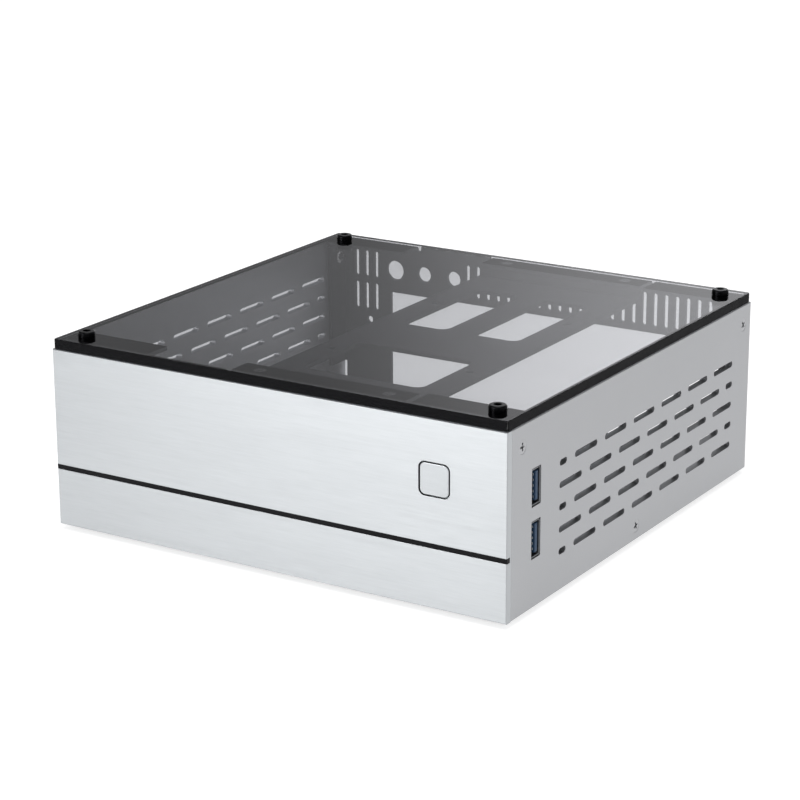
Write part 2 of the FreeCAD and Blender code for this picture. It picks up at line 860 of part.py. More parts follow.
def usb_post_places():
    """Width and height of the USB board's posts."""
    x = side_inner - usb_post_side_gap
    foot = wall_foot + usb_board_foot
    return [(x, foot + usb_post_inset), (x, foot + usb_board_height - usb_post_inset)]


def usb_board():
    """Upright board that carries both sockets."""
    front = usb_board_front()
    right = side_inner - usb_board_side_gap
    foot = wall_foot + usb_board_foot
    board = span_box((right - usb_board_reach, right), (front, front + small_board_thickness),
                     (foot, foot + usb_board_height))
    return board.cut(board_holes(usb_post_places(), front))


def posts(places, board_front):
    """Tubular posts from the front wall to a board."""
    length = board_front - tray_inner_front
    return Part.makeCompound([
        ring(at(x, tray_inner_front, z), REAR, post_radius, post_bore_radius, length) for x, z in places
    ])


def post_screws(places, board_front):
    """Screws that hold a board to its posts."""
    rear = board_front + small_board_thickness
    return Part.makeCompound([
        pan_head_screw(at(x, rear, z), FRONT, post_screw_reach, pan_head_radius, post_screw_radius)
        for x, z in places
    ])


def usb_mouth():
    """Width position of a socket's mouth."""
    return right_face - usb_shell_recess


def usb_shell(z):
    """Folded metal shell of a socket, open at its mouth, with a lip around it."""
    mouth = usb_mouth()
    middle_x = mouth - usb_shell_length / 2
    outer = rounded_prism(at(middle_x, usb_y, z), UP, RIGHT, usb_shell_height, usb_shell_width,
                          2 * usb_shell_wall, usb_shell_length)
    lip = rounded_prism(at(mouth - usb_lip_length / 2, usb_y, z), UP, RIGHT,
                        usb_shell_height + 2 * usb_lip_overhang, usb_shell_width + 2 * usb_lip_overhang,
                        2 * usb_shell_wall + usb_lip_overhang, usb_lip_length)
    hollow = rounded_prism(at(middle_x, usb_y, z), UP, RIGHT, usb_shell_height - 2 * usb_shell_wall,
                           usb_shell_width - 2 * usb_shell_wall, usb_shell_wall, usb_shell_length)
    return joined([outer, lip]).cut(hollow)


def usb_tongue_front():
    """Depth of the tongue's contact face, which looks to the case's front."""
    return usb_y + usb_shell_width / 2 - usb_shell_wall - usb_tongue_side_gap - usb_tongue_thickness


def usb_tongue(z):
    """Blue plastic block at the shell's rear end with the tongue that carries the contacts."""
    inner_end = usb_mouth() - usb_shell_length
    margin = 2 * (usb_shell_wall + usb_fit_gap)
    block_middle = at(inner_end + usb_block_length / 2, usb_y, z)
    block = rounded_prism(block_middle, UP, RIGHT, usb_shell_height - margin, usb_shell_width - margin,
                          usb_shell_wall, usb_block_length)
    front = usb_tongue_front()
    tongue = span_box((inner_end, usb_mouth() - usb_tongue_recess), (front, front + usb_tongue_thickness),
                      (z - usb_tongue_width / 2, z + usb_tongue_width / 2))
    return joined([block, tongue])


def usb_contacts(z):
    """Contact strips on the tongue's face."""
    front = usb_tongue_front()
    end = usb_mouth() - usb_tongue_recess - usb_contact_recess
    strips = []
    for index in range(usb_contact_count):
        middle = z + (index - (usb_contact_count - 1) / 2) * usb_contact_pitch
        strips.append(span_box((end - usb_contact_length, end), (front - usb_contact_height, front),
                               (middle - usb_contact_width / 2, middle + usb_contact_width / 2)))
    return Part.makeCompound(strips)


def board_seats():
    """Hexagonal seats for the mainboard, with tapped bores."""
    seats = []
    for x, y in board_seat_places():
        foot = at(x, y, floor_top)
        seat = hex_prism(foot, UP, board_seat_across, board_seat_height)
        seats.append(seat.cut(Part.makeCylinder(board_seat_bore_radius, board_seat_height, foot)))
    return Part.makeCompound(seats)


def rubber_foot(x, y):
    """Rubber foot that narrows towards the surface."""
    return Part.makeCone(foot_tip_radius, foot_radius, foot_height, at(x, y, 0))


def side_screws(side):
    """The three flat-head screws of a side plate."""
    face = side * right_face
    return Part.makeCompound([
        flat_head_screw(at(face, y, z), LEFT * side, side_screw_reach) for y, z in side_screw_places()
    ])


def side_nuts(side):
    """Clinch nuts behind the flanges that a side plate is screwed to."""
    bore = screw_radius + screw_hole_gap
    return Part.makeCompound([
        ring(at(side * flange_inner, y, z), LEFT * side, side_nut_radius, bore, side_nut_height)
        for y, z in side_screw_places()
    ])


def cover_nuts():
    """Clinch nuts under the corner tabs."""
    bore = screw_radius + screw_hole_gap
    return Part.makeCompound([
        ring(at(x, y, tab_under), DOWN, cover_nut_radius, bore, cover_nut_height)
        for x, y in cover_screw_places().values()
    ])


def build():
    """Every piece of the case by its name."""
    parts = {
        "base_tray": base_tray(),
        "rear_panel": rear_panel(),
        "front_panel": front_plate(),
        "front_inlay": inlay(),
        "left_side_panel": side_plate(-1, left_slot_lowest, []),
        "right_side_panel": side_plate(1, right_slot_lowest, usb_heights.values()),
        "top_cover": top_cover(),
        "drive_bracket": drive_bracket(),
        "power_button": power_button(),
        "switch_plunger": switch_plunger(),
        "switch_body": switch_body(),
        "switch_board": switch_board(),
        "switch_board_posts": posts(switch_post_places(), switch_board_front()),
        "switch_board_screws": post_screws(switch_post_places(), switch_board_front()),
        "usb_board": usb_board(),
        "usb_board_posts": posts(usb_post_places(), usb_board_front()),
        "usb_board_screws": post_screws(usb_post_places(), usb_board_front()),
        "board_seats": board_seats(),
        "left_side_screws": side_screws(-1),
        "right_side_screws": side_screws(1),
        "left_side_nuts": side_nuts(-1),
        "right_side_nuts": side_nuts(1),
        "cover_nuts": cover_nuts(),
        "front_panel_screws": Part.makeCompound([
            pan_head_screw(at(x, tray_inner_front, z), FRONT, front_screw_reach)
            for x, z in front_screw_places()
        ]),
        "drive_bracket_screws": Part.makeCompound([
            flat_head_screw(at(x, y, wall_top), DOWN, small_screw_reach,
                            small_flat_head_radius, small_screw_radius)
            for x, y in bracket_screw_places()
        ]),
        "rear_panel_screws": Part.makeCompound([
            flat_head_screw(at(x, rear_face - foot_screw_inset, wall_foot), UP, foot_screw_reach,
                            small_flat_head_radius, small_screw_radius)
            for x in foot_screw_places()
        ]),
    }
    for name, z in usb_heights.items():
        parts["usb_" + name + "_shell"] = usb_shell(z)
        parts["usb_" + name + "_tongue"] = usb_tongue(z)
        parts["usb_" + name + "_contacts"] = usb_contacts(z)
    for corner, (x, y) in cover_screw_places().items():
        parts["cover_screw_" + corner] = cover_screw(x, y)
    for side_name, side in (("left", -1), ("right", 1)):
        for end_name, end in (("front", -1), ("rear", 1)):
            x = side * (right_face - foot_inset)
            y = end * (rear_face - foot_inset)
            parts["foot_" + end_name + "_" + side_name] = rubber_foot(x, y)
    return parts


os.makedirs("parts", exist_ok=True)
for node, shape in build().items():
    shape.exportStep("parts/" + node + ".step")
    print(node, "solids", len(shape.Solids), "valid", shape.isValid(), "volume", round(shape.Volume, 1))
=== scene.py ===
import logging
import math
from abc import ABC, abstractmethod
from contextlib import contextmanager
from dataclasses import dataclass, field
from enum import Enum
from typing import Any, Callable, Iterator, Optional, Sequence, Union

import bmesh
import bpy
from mathutils import Matrix, Vector


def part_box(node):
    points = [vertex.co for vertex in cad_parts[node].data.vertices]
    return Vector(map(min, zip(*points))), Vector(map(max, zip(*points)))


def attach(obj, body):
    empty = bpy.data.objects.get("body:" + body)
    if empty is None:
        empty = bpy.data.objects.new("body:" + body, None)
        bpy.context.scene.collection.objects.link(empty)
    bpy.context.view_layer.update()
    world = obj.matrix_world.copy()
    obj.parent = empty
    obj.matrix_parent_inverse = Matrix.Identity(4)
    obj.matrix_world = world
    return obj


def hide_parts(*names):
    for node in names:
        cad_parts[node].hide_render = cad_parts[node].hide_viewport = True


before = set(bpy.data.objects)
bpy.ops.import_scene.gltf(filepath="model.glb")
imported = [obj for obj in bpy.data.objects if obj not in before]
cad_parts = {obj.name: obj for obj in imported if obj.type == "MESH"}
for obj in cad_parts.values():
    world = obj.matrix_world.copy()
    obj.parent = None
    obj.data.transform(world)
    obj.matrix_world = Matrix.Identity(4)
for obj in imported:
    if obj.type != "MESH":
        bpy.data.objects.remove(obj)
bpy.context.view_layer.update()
log = logging.getLogger("case")

MM = 0.001
TOUCH = 0.01 * MM  # places closer than this count as one
FACING = 0.9  # cosine above which a direction counts as the wanted one
STEEP = 0.5  # cosine to the vertical below which a face counts as a side
MERGE = 0.0005 * MM  # corners of a CAD mesh closer than this are merged
FLAT = math.radians(0.4)  # faces of a CAD mesh that turn less than this become one
SHARP = math.radians(38)  # edges of a CAD mesh that turn more than this are broken
MIDDLE = (0.3, 0.7)  # the part of a mixed noise that is spread over both colours
CORNERS = ("front_left", "front_right", "rear_left", "rear_right")


class Element(Enum):
    """What a selection on the bench is made of."""

    EDGE = "edges"
    FACE = "faces"


class Way(Enum):
    """The axes that pieces are laid along."""

    X = (1.0, 0.0, 0.0)
    Y = (0.0, 1.0, 0.0)
    Z = (0.0, 0.0, 1.0)

    @property
    def vector(self) -> Vector:
        """The axis as a vector."""
        return Vector(self.value)


class Side(Enum):
    """The two sides of the case."""

    LEFT = -1
    RIGHT = 1


class Bench:
    """The modelling bench: primitives are added and shaped here in edit mode, as by hand."""

    @staticmethod
    def clear() -> None:
        """Leaves edit mode and deselects everything."""
        if bpy.context.object is not None and bpy.context.object.mode != "OBJECT":
            bpy.ops.object.mode_set(mode="OBJECT")
        bpy.ops.object.select_all(action="DESELECT")

    @staticmethod
    def take(piece: bpy.types.Object) -> None:
        """Makes one piece the only selected and active one.

        Args:
            piece: The piece to work on.
        """
        Bench.clear()
        piece.select_set(True)
        bpy.context.view_layer.objects.active = piece

    @staticmethod
    def label(piece: bpy.types.Object, name: str) -> None:
        """Gives a piece and its mesh the same name."""
        piece.name = name
        piece.data.name = name

    @staticmethod
    def settle(piece: bpy.types.Object) -> bpy.types.Object:
        """Puts a piece's place, turn and size into its mesh.

        Args:
            piece: The piece whose object moves to the origin.

        Returns:
            The same piece.
        """
        Bench.take(piece)
        bpy.ops.object.transform_apply(location=True, rotation=True, scale=True)
        return piece

    @staticmethod
    def block(name: str, low: Vector, high: Vector) -> bpy.types.Object:
        """Adds a box between two corners.

        Args:
            name: The piece's name.
            low: Its lowest corner, in metres.
            high: Its highest corner, in metres.

        Returns:
            The box, placed in its mesh.
        """
        Bench.clear()
        bpy.ops.mesh.primitive_cube_add(size=1, location=(low + high) / 2)
        piece = bpy.context.object
        Bench.label(piece, name)
        piece.scale = high - low
        return Bench.settle(piece)

    @staticmethod
    def rod(
        name: str, base: Vector, along: Vector, radius: float, length: float, sides: int = 48
    ) -> bpy.types.Object:
        """Adds a round or many-sided rod.

        Args:
            name: The piece's name.
            base: The middle of its first end, in metres.
            along: The direction that it runs in.
            radius: Its radius, in metres.
            length: Its length, in metres.
            sides: How many sides it has.

        Returns:
            The rod, placed in its mesh.
        """
        Bench.clear()
        turn = along.to_track_quat("Z", "Y").to_euler()
        bpy.ops.mesh.primitive_cylinder_add(
            vertices=sides, radius=radius, depth=length, location=base + along * (length / 2), rotation=turn
        )
        piece = bpy.context.object
        Bench.label(piece, name)
        return Bench.settle(piece)

    @staticmethod
    @contextmanager
    def shaping(piece: bpy.types.Object) -> Iterator[bpy.types.Object]:
        """Opens a piece in edit mode.

        Args:
            piece: The piece to shape.

        Yields:
            The piece, in edit mode.
        """
        Bench.take(piece)
        bpy.ops.object.mode_set(mode="EDIT")
        try:
            yield piece
        finally:
            bpy.ops.object.mode_set(mode="OBJECT")

    @staticmethod
    def pick(piece: bpy.types.Object, element: Element, test: Callable[[Any], bool]) -> None:
        """Selects the edges or faces of the open piece that pass a test.

        Args:
            piece: The piece in edit mode.
            element: Whether edges or faces are tested.
            test: Takes an edge or face and says whether it is picked.
        """
        bpy.ops.mesh.select_mode(type=element.name)
        bpy.ops.mesh.select_all(action="DESELECT")
        mesh = bmesh.from_edit_mesh(piece.data)
        for item in [item for item in getattr(mesh, element.value) if test(item)]:
            item.select_set(True)
        mesh.select_flush_mode()
        bmesh.update_edit_mesh(piece.data)

    @staticmethod
    def bevel(
        piece: bpy.types.Object, element: Element, test: Callable[[Any], bool], width: float, segments: int
    ) -> None:
        """Bevels the edges that pass a test, or the edges round the faces that do.

        Args:
            piece: The piece in edit mode.
            element: Whether edges or faces are tested.
            test: Takes an edge or face and says whether it is picked.
            width: Width of the bevel, in metres.
            segments: Steps across the bevel.
        """
        Bench.pick(piece, element, test)
        bpy.ops.mesh.bevel(offset=width, segments=segments, profile=0.5, affect="EDGES")

    @staticmethod
    def modify(piece: bpy.types.Object, kind: str, **settings: Any) -> None:
        """Adds a modifier and applies it.

        Args:
            piece: The piece to change.
            kind: The modifier's type, such as BEVEL.
            settings: The modifier's settings by name.
        """
        Bench.take(piece)
        bpy.ops.object.modifier_add(type=kind)
        modifier = piece.modifiers[-1]
        for name, value in settings.items():
            setattr(modifier, name, value)
        bpy.ops.object.modifier_apply(modifier=modifier.name)

    @staticmethod
    def carve(piece: bpy.types.Object, cutter: bpy.types.Object) -> None:
        """Cuts one piece out of another and puts the cutter away.

        Args:
            piece: The piece that stays.
            cutter: The piece that is cut out and removed.
        """
        Bench.modify(piece, "BOOLEAN", operation="DIFFERENCE", solver="EXACT", object=cutter)
        bpy.data.objects.remove(cutter, do_unlink=True)

    @staticmethod
    def join(name: str, pieces: Sequence[bpy.types.Object]) -> bpy.types.Object:
        """Joins pieces into one object with several shells.

        Args:
            name: The joined piece's name.
            pieces: The pieces to join.

        Returns:
            The joined piece.
        """
        Bench.take(pieces[0])
        for piece in pieces[1:]:
            piece.select_set(True)
        if len(pieces) > 1:
            bpy.ops.object.join()
        Bench.label(pieces[0], name)
        return pieces[0]

    @staticmethod
    def copy(piece: bpy.types.Object, name: str, place: Matrix) -> bpy.types.Object:
        """Copies a modelled piece, with its own mesh, to another place.

        Args:
            piece: The piece to copy, modelled at the origin.
            name: The copy's name.
            place: The copy's place and turn.

        Returns:
            The copy, placed in its mesh.
        """
        Bench.take(piece)
        bpy.ops.object.duplicate(linked=False)
        twin = bpy.context.object
        Bench.label(twin, name)
        twin.matrix_world = place
        return Bench.settle(twin)

    @staticmethod
    def discard(piece: bpy.types.Object) -> None:
        """Removes a pattern piece that was only modelled to be copied."""
        bpy.data.objects.remove(piece, do_unlink=True)


class Select:
    """Tests for the edges and faces that a tool works on."""

    @staticmethod
    def level(way: Way, place: float) -> Callable[[Any], bool]:
        """Edges or faces whose corners all lie at one place along an axis."""
        return lambda item: all(abs(vert.co.dot(way.vector) - place) < TOUCH for vert in item.verts)

    @staticmethod
    def edges(way: Way) -> Callable[[Any], bool]:
        """Edges that run along an axis."""
        return lambda edge: abs((edge.verts[0].co - edge.verts[1].co).normalized().dot(way.vector)) > FACING

    @staticmethod
    def faces(direction: Vector) -> Callable[[Any], bool]:
        """Faces that look in a direction."""
        return lambda face: face.normal.dot(direction) > FACING

    @staticmethod
    def ends(way: Way) -> Callable[[Any], bool]:
        """Faces at both ends of an axis."""
        return lambda face: abs(face.normal.dot(way.vector)) > FACING


class Wire:
    """A value in a node graph. Arithmetic on it adds Math nodes."""

    def __init__(self, graph: "Graph", socket: bpy.types.NodeSocket) -> None:
        """Wraps a socket.

        Args:
            graph: The graph that the socket belongs to.
            socket: The output socket.
        """
        self.graph = graph
        self.socket = socket

    def math(self, operation: str, *others: Union["Wire", float], first: bool = True) -> "Wire":
        """Adds a Math node.

        Args:
            operation: The Math node's operation.
            others: The other values.
            first: Whether this value goes into the first socket, before the others.

        Returns:
            The node's result.
        """
        values = (self, *others) if first else (*others, self)
        node = self.graph.node("ShaderNodeMath", {"operation": operation}, dict(enumerate(values)))
        return Wire(self.graph, node.outputs[0])

    def __add__(self, other: Union["Wire", float]) -> "Wire":
        """Sum."""
        return self.math("ADD", other)

    def __radd__(self, other: float) -> "Wire":
        """Sum, with the number first."""
        return self.math("ADD", other, first=False)

    def __sub__(self, other: Union["Wire", float]) -> "Wire":
        """Difference."""
        return self.math("SUBTRACT", other)

    def __rsub__(self, other: float) -> "Wire":
        """Difference, with the number first."""
        return self.math("SUBTRACT", other, first=False)

    def __mul__(self, other: Union["Wire", float]) -> "Wire":
        """Product."""
        return self.math("MULTIPLY", other)

    def __rmul__(self, other: float) -> "Wire":
        """Product, with the number first."""
        return self.math("MULTIPLY", other, first=False)

    def step(self, low: float, high: float) -> "Wire":
        """Adds a smooth step.

        Args:
            low: The value up to which the result is 0.
            high: The value from which the result is 1.

        Returns:
            The step, from 0 to 1.
        """
        node = self.graph.node(
            "ShaderNodeMapRange",
            {"interpolation_type": "SMOOTHSTEP"},
            {"Value": self, "From Min": low, "From Max": high, "To Min": 0.0, "To Max": 1.0},
        )
        return Wire(self.graph, node.outputs[0])


Feed = Union[Wire, bpy.types.NodeSocket, float, Sequence[float]]
Scale = Union[float, Sequence[float]]


class Graph:
    """A node graph that nodes are added to by one method."""

    def __init__(self, tree: bpy.types.NodeTree) -> None:
        """Empties a node tree and takes it over.

        Args:
            tree: The node tree.
        """
        self.tree = tree
        self.tree.nodes.clear()

    def feed(self, socket: bpy.types.NodeSocket, value: Feed) -> None:
        """Links a value to a socket, or sets a constant on it.

        Args:
            socket: The input socket.
            value: A wire, a socket or a constant.
        """
        if isinstance(value, Wire):
            self.tree.links.new(value.socket, socket)
        elif isinstance(value, bpy.types.NodeSocket):
            self.tree.links.new(value, socket)
        elif socket.type == "RGBA" and len(value) == 3:
            socket.default_value = (*value, 1.0)
        else:
            socket.default_value = value

    def node(
        self, kind: str, settings: Optional[dict[str, Any]] = None, inputs: Optional[dict[Any, Feed]] = None
    ) -> bpy.types.Node:
        """Adds a node.

        Args:
            kind: The node's type.
            settings: Its settings by name.
            inputs: Values or links of its sockets, by name or number.

        Returns:
            The node.
        """
        made = self.tree.nodes.new(kind)
        for name, value in (settings or {}).items():
            setattr(made, name, value)
        for name, value in (inputs or {}).items():
            self.feed(made.inputs[name], value)
        return made


class Shade(Graph):
    """One material's nodes, with a Principled shader at the end."""

    def __init__(self, name: str, **constants: Feed) -> None:
        """Starts a material.

        Args:
            name: The material's name.
            constants: Values of the Principled shader's sockets, with spaces written as underscores.
        """
        self.material = bpy.data.materials.new(name)
        self.material.use_nodes = True
        super().__init__(self.material.node_tree)
        self.output = self.node("ShaderNodeOutputMaterial")
        self.surface = self.node("ShaderNodeBsdfPrincipled")
        self.tree.links.new(self.surface.outputs[0], self.output.inputs["Surface"])
        self.set(**constants)

    def set(self, **values: Feed) -> None:
        """Sets or links sockets of the Principled shader, with spaces written as underscores."""
        for name, value in values.items():
            self.feed(self.surface.inputs[name.replace("_", " ")], value)

    def place(self, scale: Scale, shift: Sequence[float] = (0, 0, 0)) -> bpy.types.NodeSocket:
        """Object coordinates in metres, scaled and shifted.

        Args:
            scale: Repeats per metre, one number for all axes or one for each.
            shift: Shift after scaling.

        Returns:
            The vector socket.
        """
        scale = scale if isinstance(scale, Sequence) else (scale,) * 3
        source = self.node("ShaderNodeTexCoord").outputs["Object"]
        mapping = self.node("ShaderNodeMapping", None, {"Vector": source, "Scale": scale, "Location": shift})
        return mapping.outputs[0]

    def axis(self, way: Way) -> Wire:
        """One object coordinate in metres."""
        split = self.node("ShaderNodeSeparateXYZ", None, {0: self.place(1.0)})
        return Wire(self, split.outputs[way.name])

    def noise(self, scale: Scale, detail: float, rough: float, shift: Sequence[float] = (0, 0, 0)) -> Wire:
        """Noise with its own scale along each axis.

        Args:
            scale: Repeats per metre, one number for all axes or one for each.
            detail: How many finer layers it has.
            rough: How strong the finer layers are.
            shift: Shift after scaling, so that two noises differ.

        Returns:
            The noise, about 0.5 on average.
        """
        node = self.node(
            "ShaderNodeTexNoise",
            {"noise_dimensions": "3D"},
            {"Vector": self.place(scale, shift), "Scale": 1.0, "Detail": detail, "Roughness": rough},
        )
        return Wire(self, node.outputs[0])

    def cells(self, scale: Scale) -> Wire:
        """Distance in a cell pattern."""
        inputs = {"Vector": self.place(scale), "Scale": 1.0}
        return Wire(self, self.node("ShaderNodeTexVoronoi", {"feature": "F1"}, inputs).outputs[0])

    def blend(self, share: Wire, first: Feed, second: Feed) -> bpy.types.NodeSocket:
        """Mix of two colours.

        Args:
            share: How much of the second colour shows.
            first: The first colour.
            second: The second colour.

        Returns:
            The colour socket.
        """
        node = self.node("ShaderNodeMix", {"data_type": "RGBA"})
        self.feed(node.inputs[0], share)
        self.feed(node.inputs[6], first)
        self.feed(node.inputs[7], second)
        return node.outputs[2]

    def relief(self, height: Wire, depth: float, strength: float) -> None:
        """Raises and sinks the surface by a height pattern.

        Args:
            height: The pattern, from 0 to 1.
            depth: Its depth in metres.
            strength: How much of the bump shows.
        """
        bump = self.node("ShaderNodeBump", None, {"Strength": strength, "Distance": depth, "Height": height})
        self.set(Normal=bump.outputs[0])


Colour = tuple[float, float, float]


class Finish(ABC):
    """A finish of the case that can be put on a piece."""

    name: str

    @abstractmethod
    def make(self) -> bpy.types.Material:
        """Builds the finish's material."""

    @property
    def label(self) -> str:
        """The material's name, unlike that of the slot's plain material."""
        return self.name + "_finish"

    @property
    def material(self) -> bpy.types.Material:
        """The finish's material, built once."""
        return bpy.data.materials.get(self.label) or self.make()


@dataclass(frozen=True)
class BrushedPlate(Finish):
    """Aluminium brushed in one direction, with fine streaks and a few longer ones.

    The two numbers of a grain are its repeats per metre along and across the brushing.
    """

    name: str = "brushed_plate"
    light: Colour = (0.465, 0.483, 0.495)
    dark: Colour = (0.41, 0.424, 0.436)
    along: Way = Way.X
    roughness: float = 0.34
    stretch: float = 0.72
    stretch_turn: float = 0.25
    fine_grain: tuple[float, float] = (110, 4200)
    broad_grain: tuple[float, float] = (30, 1100)
    scratch_grain: tuple[float, float] = (18, 1900)
    scratch_start: tuple[float, float] = (0.66, 0.76)
    cloud_grain: tuple[float, float, float] = (9, 9, 14)
    contrast: float = 1.15
    groove_depth: float = 0.012 * MM

    def make(self) -> bpy.types.Material:
        """Builds streaks at three scales.

        Returns:
            The material.
        """
        shade = Shade(self.label, Metallic=1.0, IOR=1.5)
        shade.set(Anisotropic=self.stretch, Anisotropic_Rotation=self.stretch_turn)
        fine = shade.noise(self._scale(*self.fine_grain), detail=2.0, rough=0.6)
        broad = shade.noise(self._scale(*self.broad_grain), detail=3.0, rough=0.6, shift=(3.1, 1.7, 5.2))
        cloud = shade.noise(self.cloud_grain, detail=2.0, rough=0.5, shift=(8.0, 2.0, 1.0))
        scratch = shade.noise(self._scale(*self.scratch_grain), detail=1.0, rough=0.3, shift=(1.3, 9.1, 4.4))
        scratch = scratch.step(*self.scratch_start)
        streaks = fine * 0.5 + broad * 0.35 + cloud * 0.15
        tone = (streaks - 0.5) * self.contrast + 0.5
        shade.set(Base_Color=shade.blend(tone.step(0.15, 0.85), self.dark, self.light))
        shade.set(Roughness=fine * 0.12 + broad * 0.1 + scratch * 0.06 + (self.roughness - 0.12))
        shade.relief(fine * 0.6 + broad * 0.3 - scratch * 0.4, self.groove_depth, strength=0.55)
        return shade.material

    def _scale(self, long: float, short: float) -> tuple[float, float, float]:
        """Repeats per metre: few along the brushing, many across it."""
        return tuple(long if way is self.along else short for way in Way)


@dataclass(frozen=True)
class BlastedPlate(Finish):
    """Aluminium that was bead blasted and anodised: an even satin with a very fine grain."""

    name: str = "satin_plate"
    light: Colour = (0.482, 0.487, 0.499)
    dark: Colour = (0.438, 0.443, 0.454)
    roughness: float = 0.52
    grain_scale: float = 2600.0
    cloud_scale: float = 16.0
    pit_scale: float = 1500.0
    pit_depth: float = 0.02 * MM

    def make(self) -> bpy.types.Material:
        """Builds grain, soft clouds and faint handling marks.

        Returns:
            The material.
        """
        shade = Shade(self.label, Metallic=1.0, IOR=1.5)
        grain = shade.noise(self.grain_scale, detail=2.0, rough=0.6)
        cloud = shade.noise(self.cloud_scale, detail=3.0, rough=0.55, shift=(4.0, 1.0, 7.0))
        pits = shade.cells(self.pit_scale)
        tone = grain * 0.5 + cloud * 0.5
        shade.set(Base_Color=shade.blend(tone.step(*MIDDLE), self.dark, self.light))
        shade.set(Roughness=grain * 0.1 + cloud * 0.08 + (self.roughness - 0.09))
        shade.relief(grain * 0.5 + pits * 0.5, self.pit_depth, strength=0.35)
        return shade.material


@dataclass(frozen=True)
class CoatedSheet(Finish):
    """Steel sheet with a dark satin powder coat."""

    name: str = "dark_sheet"
    light: Colour = (0.025, 0.025, 0.028)
    dark: Colour = (0.016, 0.016, 0.018)
    roughness: float = 0.5
    peel_scale: float = 700.0
    speck_scale: float = 4200.0
    cloud_scale: float = 22.0
    peel_depth: float = 0.03 * MM

    def make(self) -> bpy.types.Material:
        """Builds the coat's orange peel and small specks.

        Returns:
            The material.
        """
        shade = Shade(self.label, Metallic=0.0, IOR=1.5, Specular_IOR_Level=0.3)
        peel = shade.noise(self.peel_scale, detail=2.0, rough=0.5)
        specks = shade.noise(self.speck_scale, detail=1.0, rough=0.5, shift=(1.0, 2.0, 3.0))
        cloud = shade.noise(self.cloud_scale, detail=2.0, rough=0.5, shift=(2.0, 5.0, 3.0))
        tone = specks * 0.5 + cloud * 0.5
        shade.set(Base_Color=shade.blend(tone.step(*MIDDLE), self.dark, self.light))
        shade.set(Roughness=specks * 0.1 + cloud * 0.08 + (self.roughness - 0.09))
        shade.relief(peel * 0.7 + specks * 0.3, self.peel_depth, strength=0.4)
        return shade.material


@dataclass(frozen=True)
class SmokedSheet(Finish):
    """Smoked clear sheet: its body swallows light on the way through, and its faces mirror the room.

    Where it was sawn, a share of the surface is dull and dark.
    """

    name: str = "smoked_cover"
    tint: Colour = (0.945, 0.953, 0.972)
    haze: Colour = (0.92, 0.928, 0.947)
    mirror: Colour = (1.0, 1.0, 1.0)
    smoke: Colour = (0.0, 0.008, 0.04)
    density: float = 97.0
    bending: float = 1.49
    grain: float = 0.0
    wipe_scale: tuple[float, float, float] = (26, 90, 30)
    dust_scale: float = 900.0
    sawn: float = 0.0
    sawn_colour: Colour = (0.006, 0.006, 0.007)
    sawn_roughness: float = 0.8
    sawn_gloss: float = 0.1

    def make(self) -> bpy.types.Material:
        """Builds clear faces with faint wiping marks, the smoke between them and what is sawn.

        Returns:
            The material.
        """
        shade = Shade(
            self.label, Metallic=0.0, IOR=self.bending, Transmission_Weight=1.0, Specular_Tint=self.mirror
        )
        wipe = shade.noise(self.wipe_scale, detail=4.0, rough=0.6)
        dust = shade.noise(self.dust_scale, detail=1.0, rough=0.4, shift=(7.0, 3.0, 2.0)).step(0.68, 0.8)
        shade.set(Base_Color=shade.blend(wipe.step(0.35, 0.75), self.tint, self.haze))
        shade.set(Roughness=wipe.step(0.5, 0.8) * 0.012 + dust * 0.02 + self.grain)
        smoke = shade.node("ShaderNodeVolumeAbsorption", None, {"Color": self.smoke, "Density": self.density})
        shade.tree.links.new(smoke.outputs[0], shade.output.inputs["Volume"])
        if self.sawn > 0:
            self._saw(shade, wipe)
        return shade.material

    def _saw(self, shade: Shade, wipe: Wire) -> None:
        """Lays the dull, dark share of a sawn edge over the clear surface.

        Args:
            shade: The material's nodes.
            wipe: The pattern that the share varies with.
        """
        matt = shade.node(
            "ShaderNodeBsdfPrincipled",
            None,
            {
                "Base Color": self.sawn_colour,
                "Roughness": self.sawn_roughness,
                "Specular IOR Level": self.sawn_gloss,
            },
        )
        share = wipe * 0.1 + (self.sawn - 0.05)
        mixed = shade.node(
            "ShaderNodeMixShader", None, {0: share, 1: shade.surface.outputs[0], 2: matt.outputs[0]}
        )
        shade.tree.links.new(mixed.outputs[0], shade.output.inputs["Surface"])


@dataclass(frozen=True)
class Metal(Finish):
    """Plain machined or plated metal with a fine grain and small wear marks."""

    name: str
    light: Colour
    dark: Colour
    roughness: float = 0.3
    grain: float = 2400.0
    depth: float = 0.01 * MM

    def make(self) -> bpy.types.Material:
        """Builds grain and wear.

        Returns:
            The material.
        """
        shade = Shade(self.label, Metallic=1.0, IOR=1.5)
        grain = shade.noise(self.grain, detail=2.0, rough=0.6)
        wear = shade.noise(self.grain / 6, detail=3.0, rough=0.6, shift=(5.0, 1.0, 3.0))
        shade.set(Base_Color=shade.blend((grain * 0.4 + wear * 0.6).step(*MIDDLE), self.dark, self.light))
        shade.set(Roughness=grain * 0.1 + wear * 0.12 + (self.roughness - 0.11))
        shade.relief(grain, self.depth, strength=0.5)
        return shade.material


@dataclass(frozen=True)
class Moulded(Finish):
    """Moulded plastic or rubber with a fine texture from the mould."""

    name: str
    light: Colour
    dark: Colour
    roughness: float = 0.45
    texture: float = 1800.0
    depth: float = 0.02 * MM
    gloss: float = 0.5

    def make(self) -> bpy.types.Material:
        """Builds the mould's texture.

        Returns:
            The material.
        """
        shade = Shade(self.label, Metallic=0.0, IOR=1.48, Specular_IOR_Level=self.gloss)
        pores = shade.cells(self.texture)
        cloud = shade.noise(self.texture / 30, detail=3.0, rough=0.5)
        shade.set(Base_Color=shade.blend((pores * 0.5 + cloud * 0.5).step(0.25, 0.7), self.dark, self.light))
        shade.set(Roughness=cloud * 0.12 + pores * 0.06 + (self.roughness - 0.08))
        shade.relief(pores, self.depth, strength=0.4)
        return shade.material


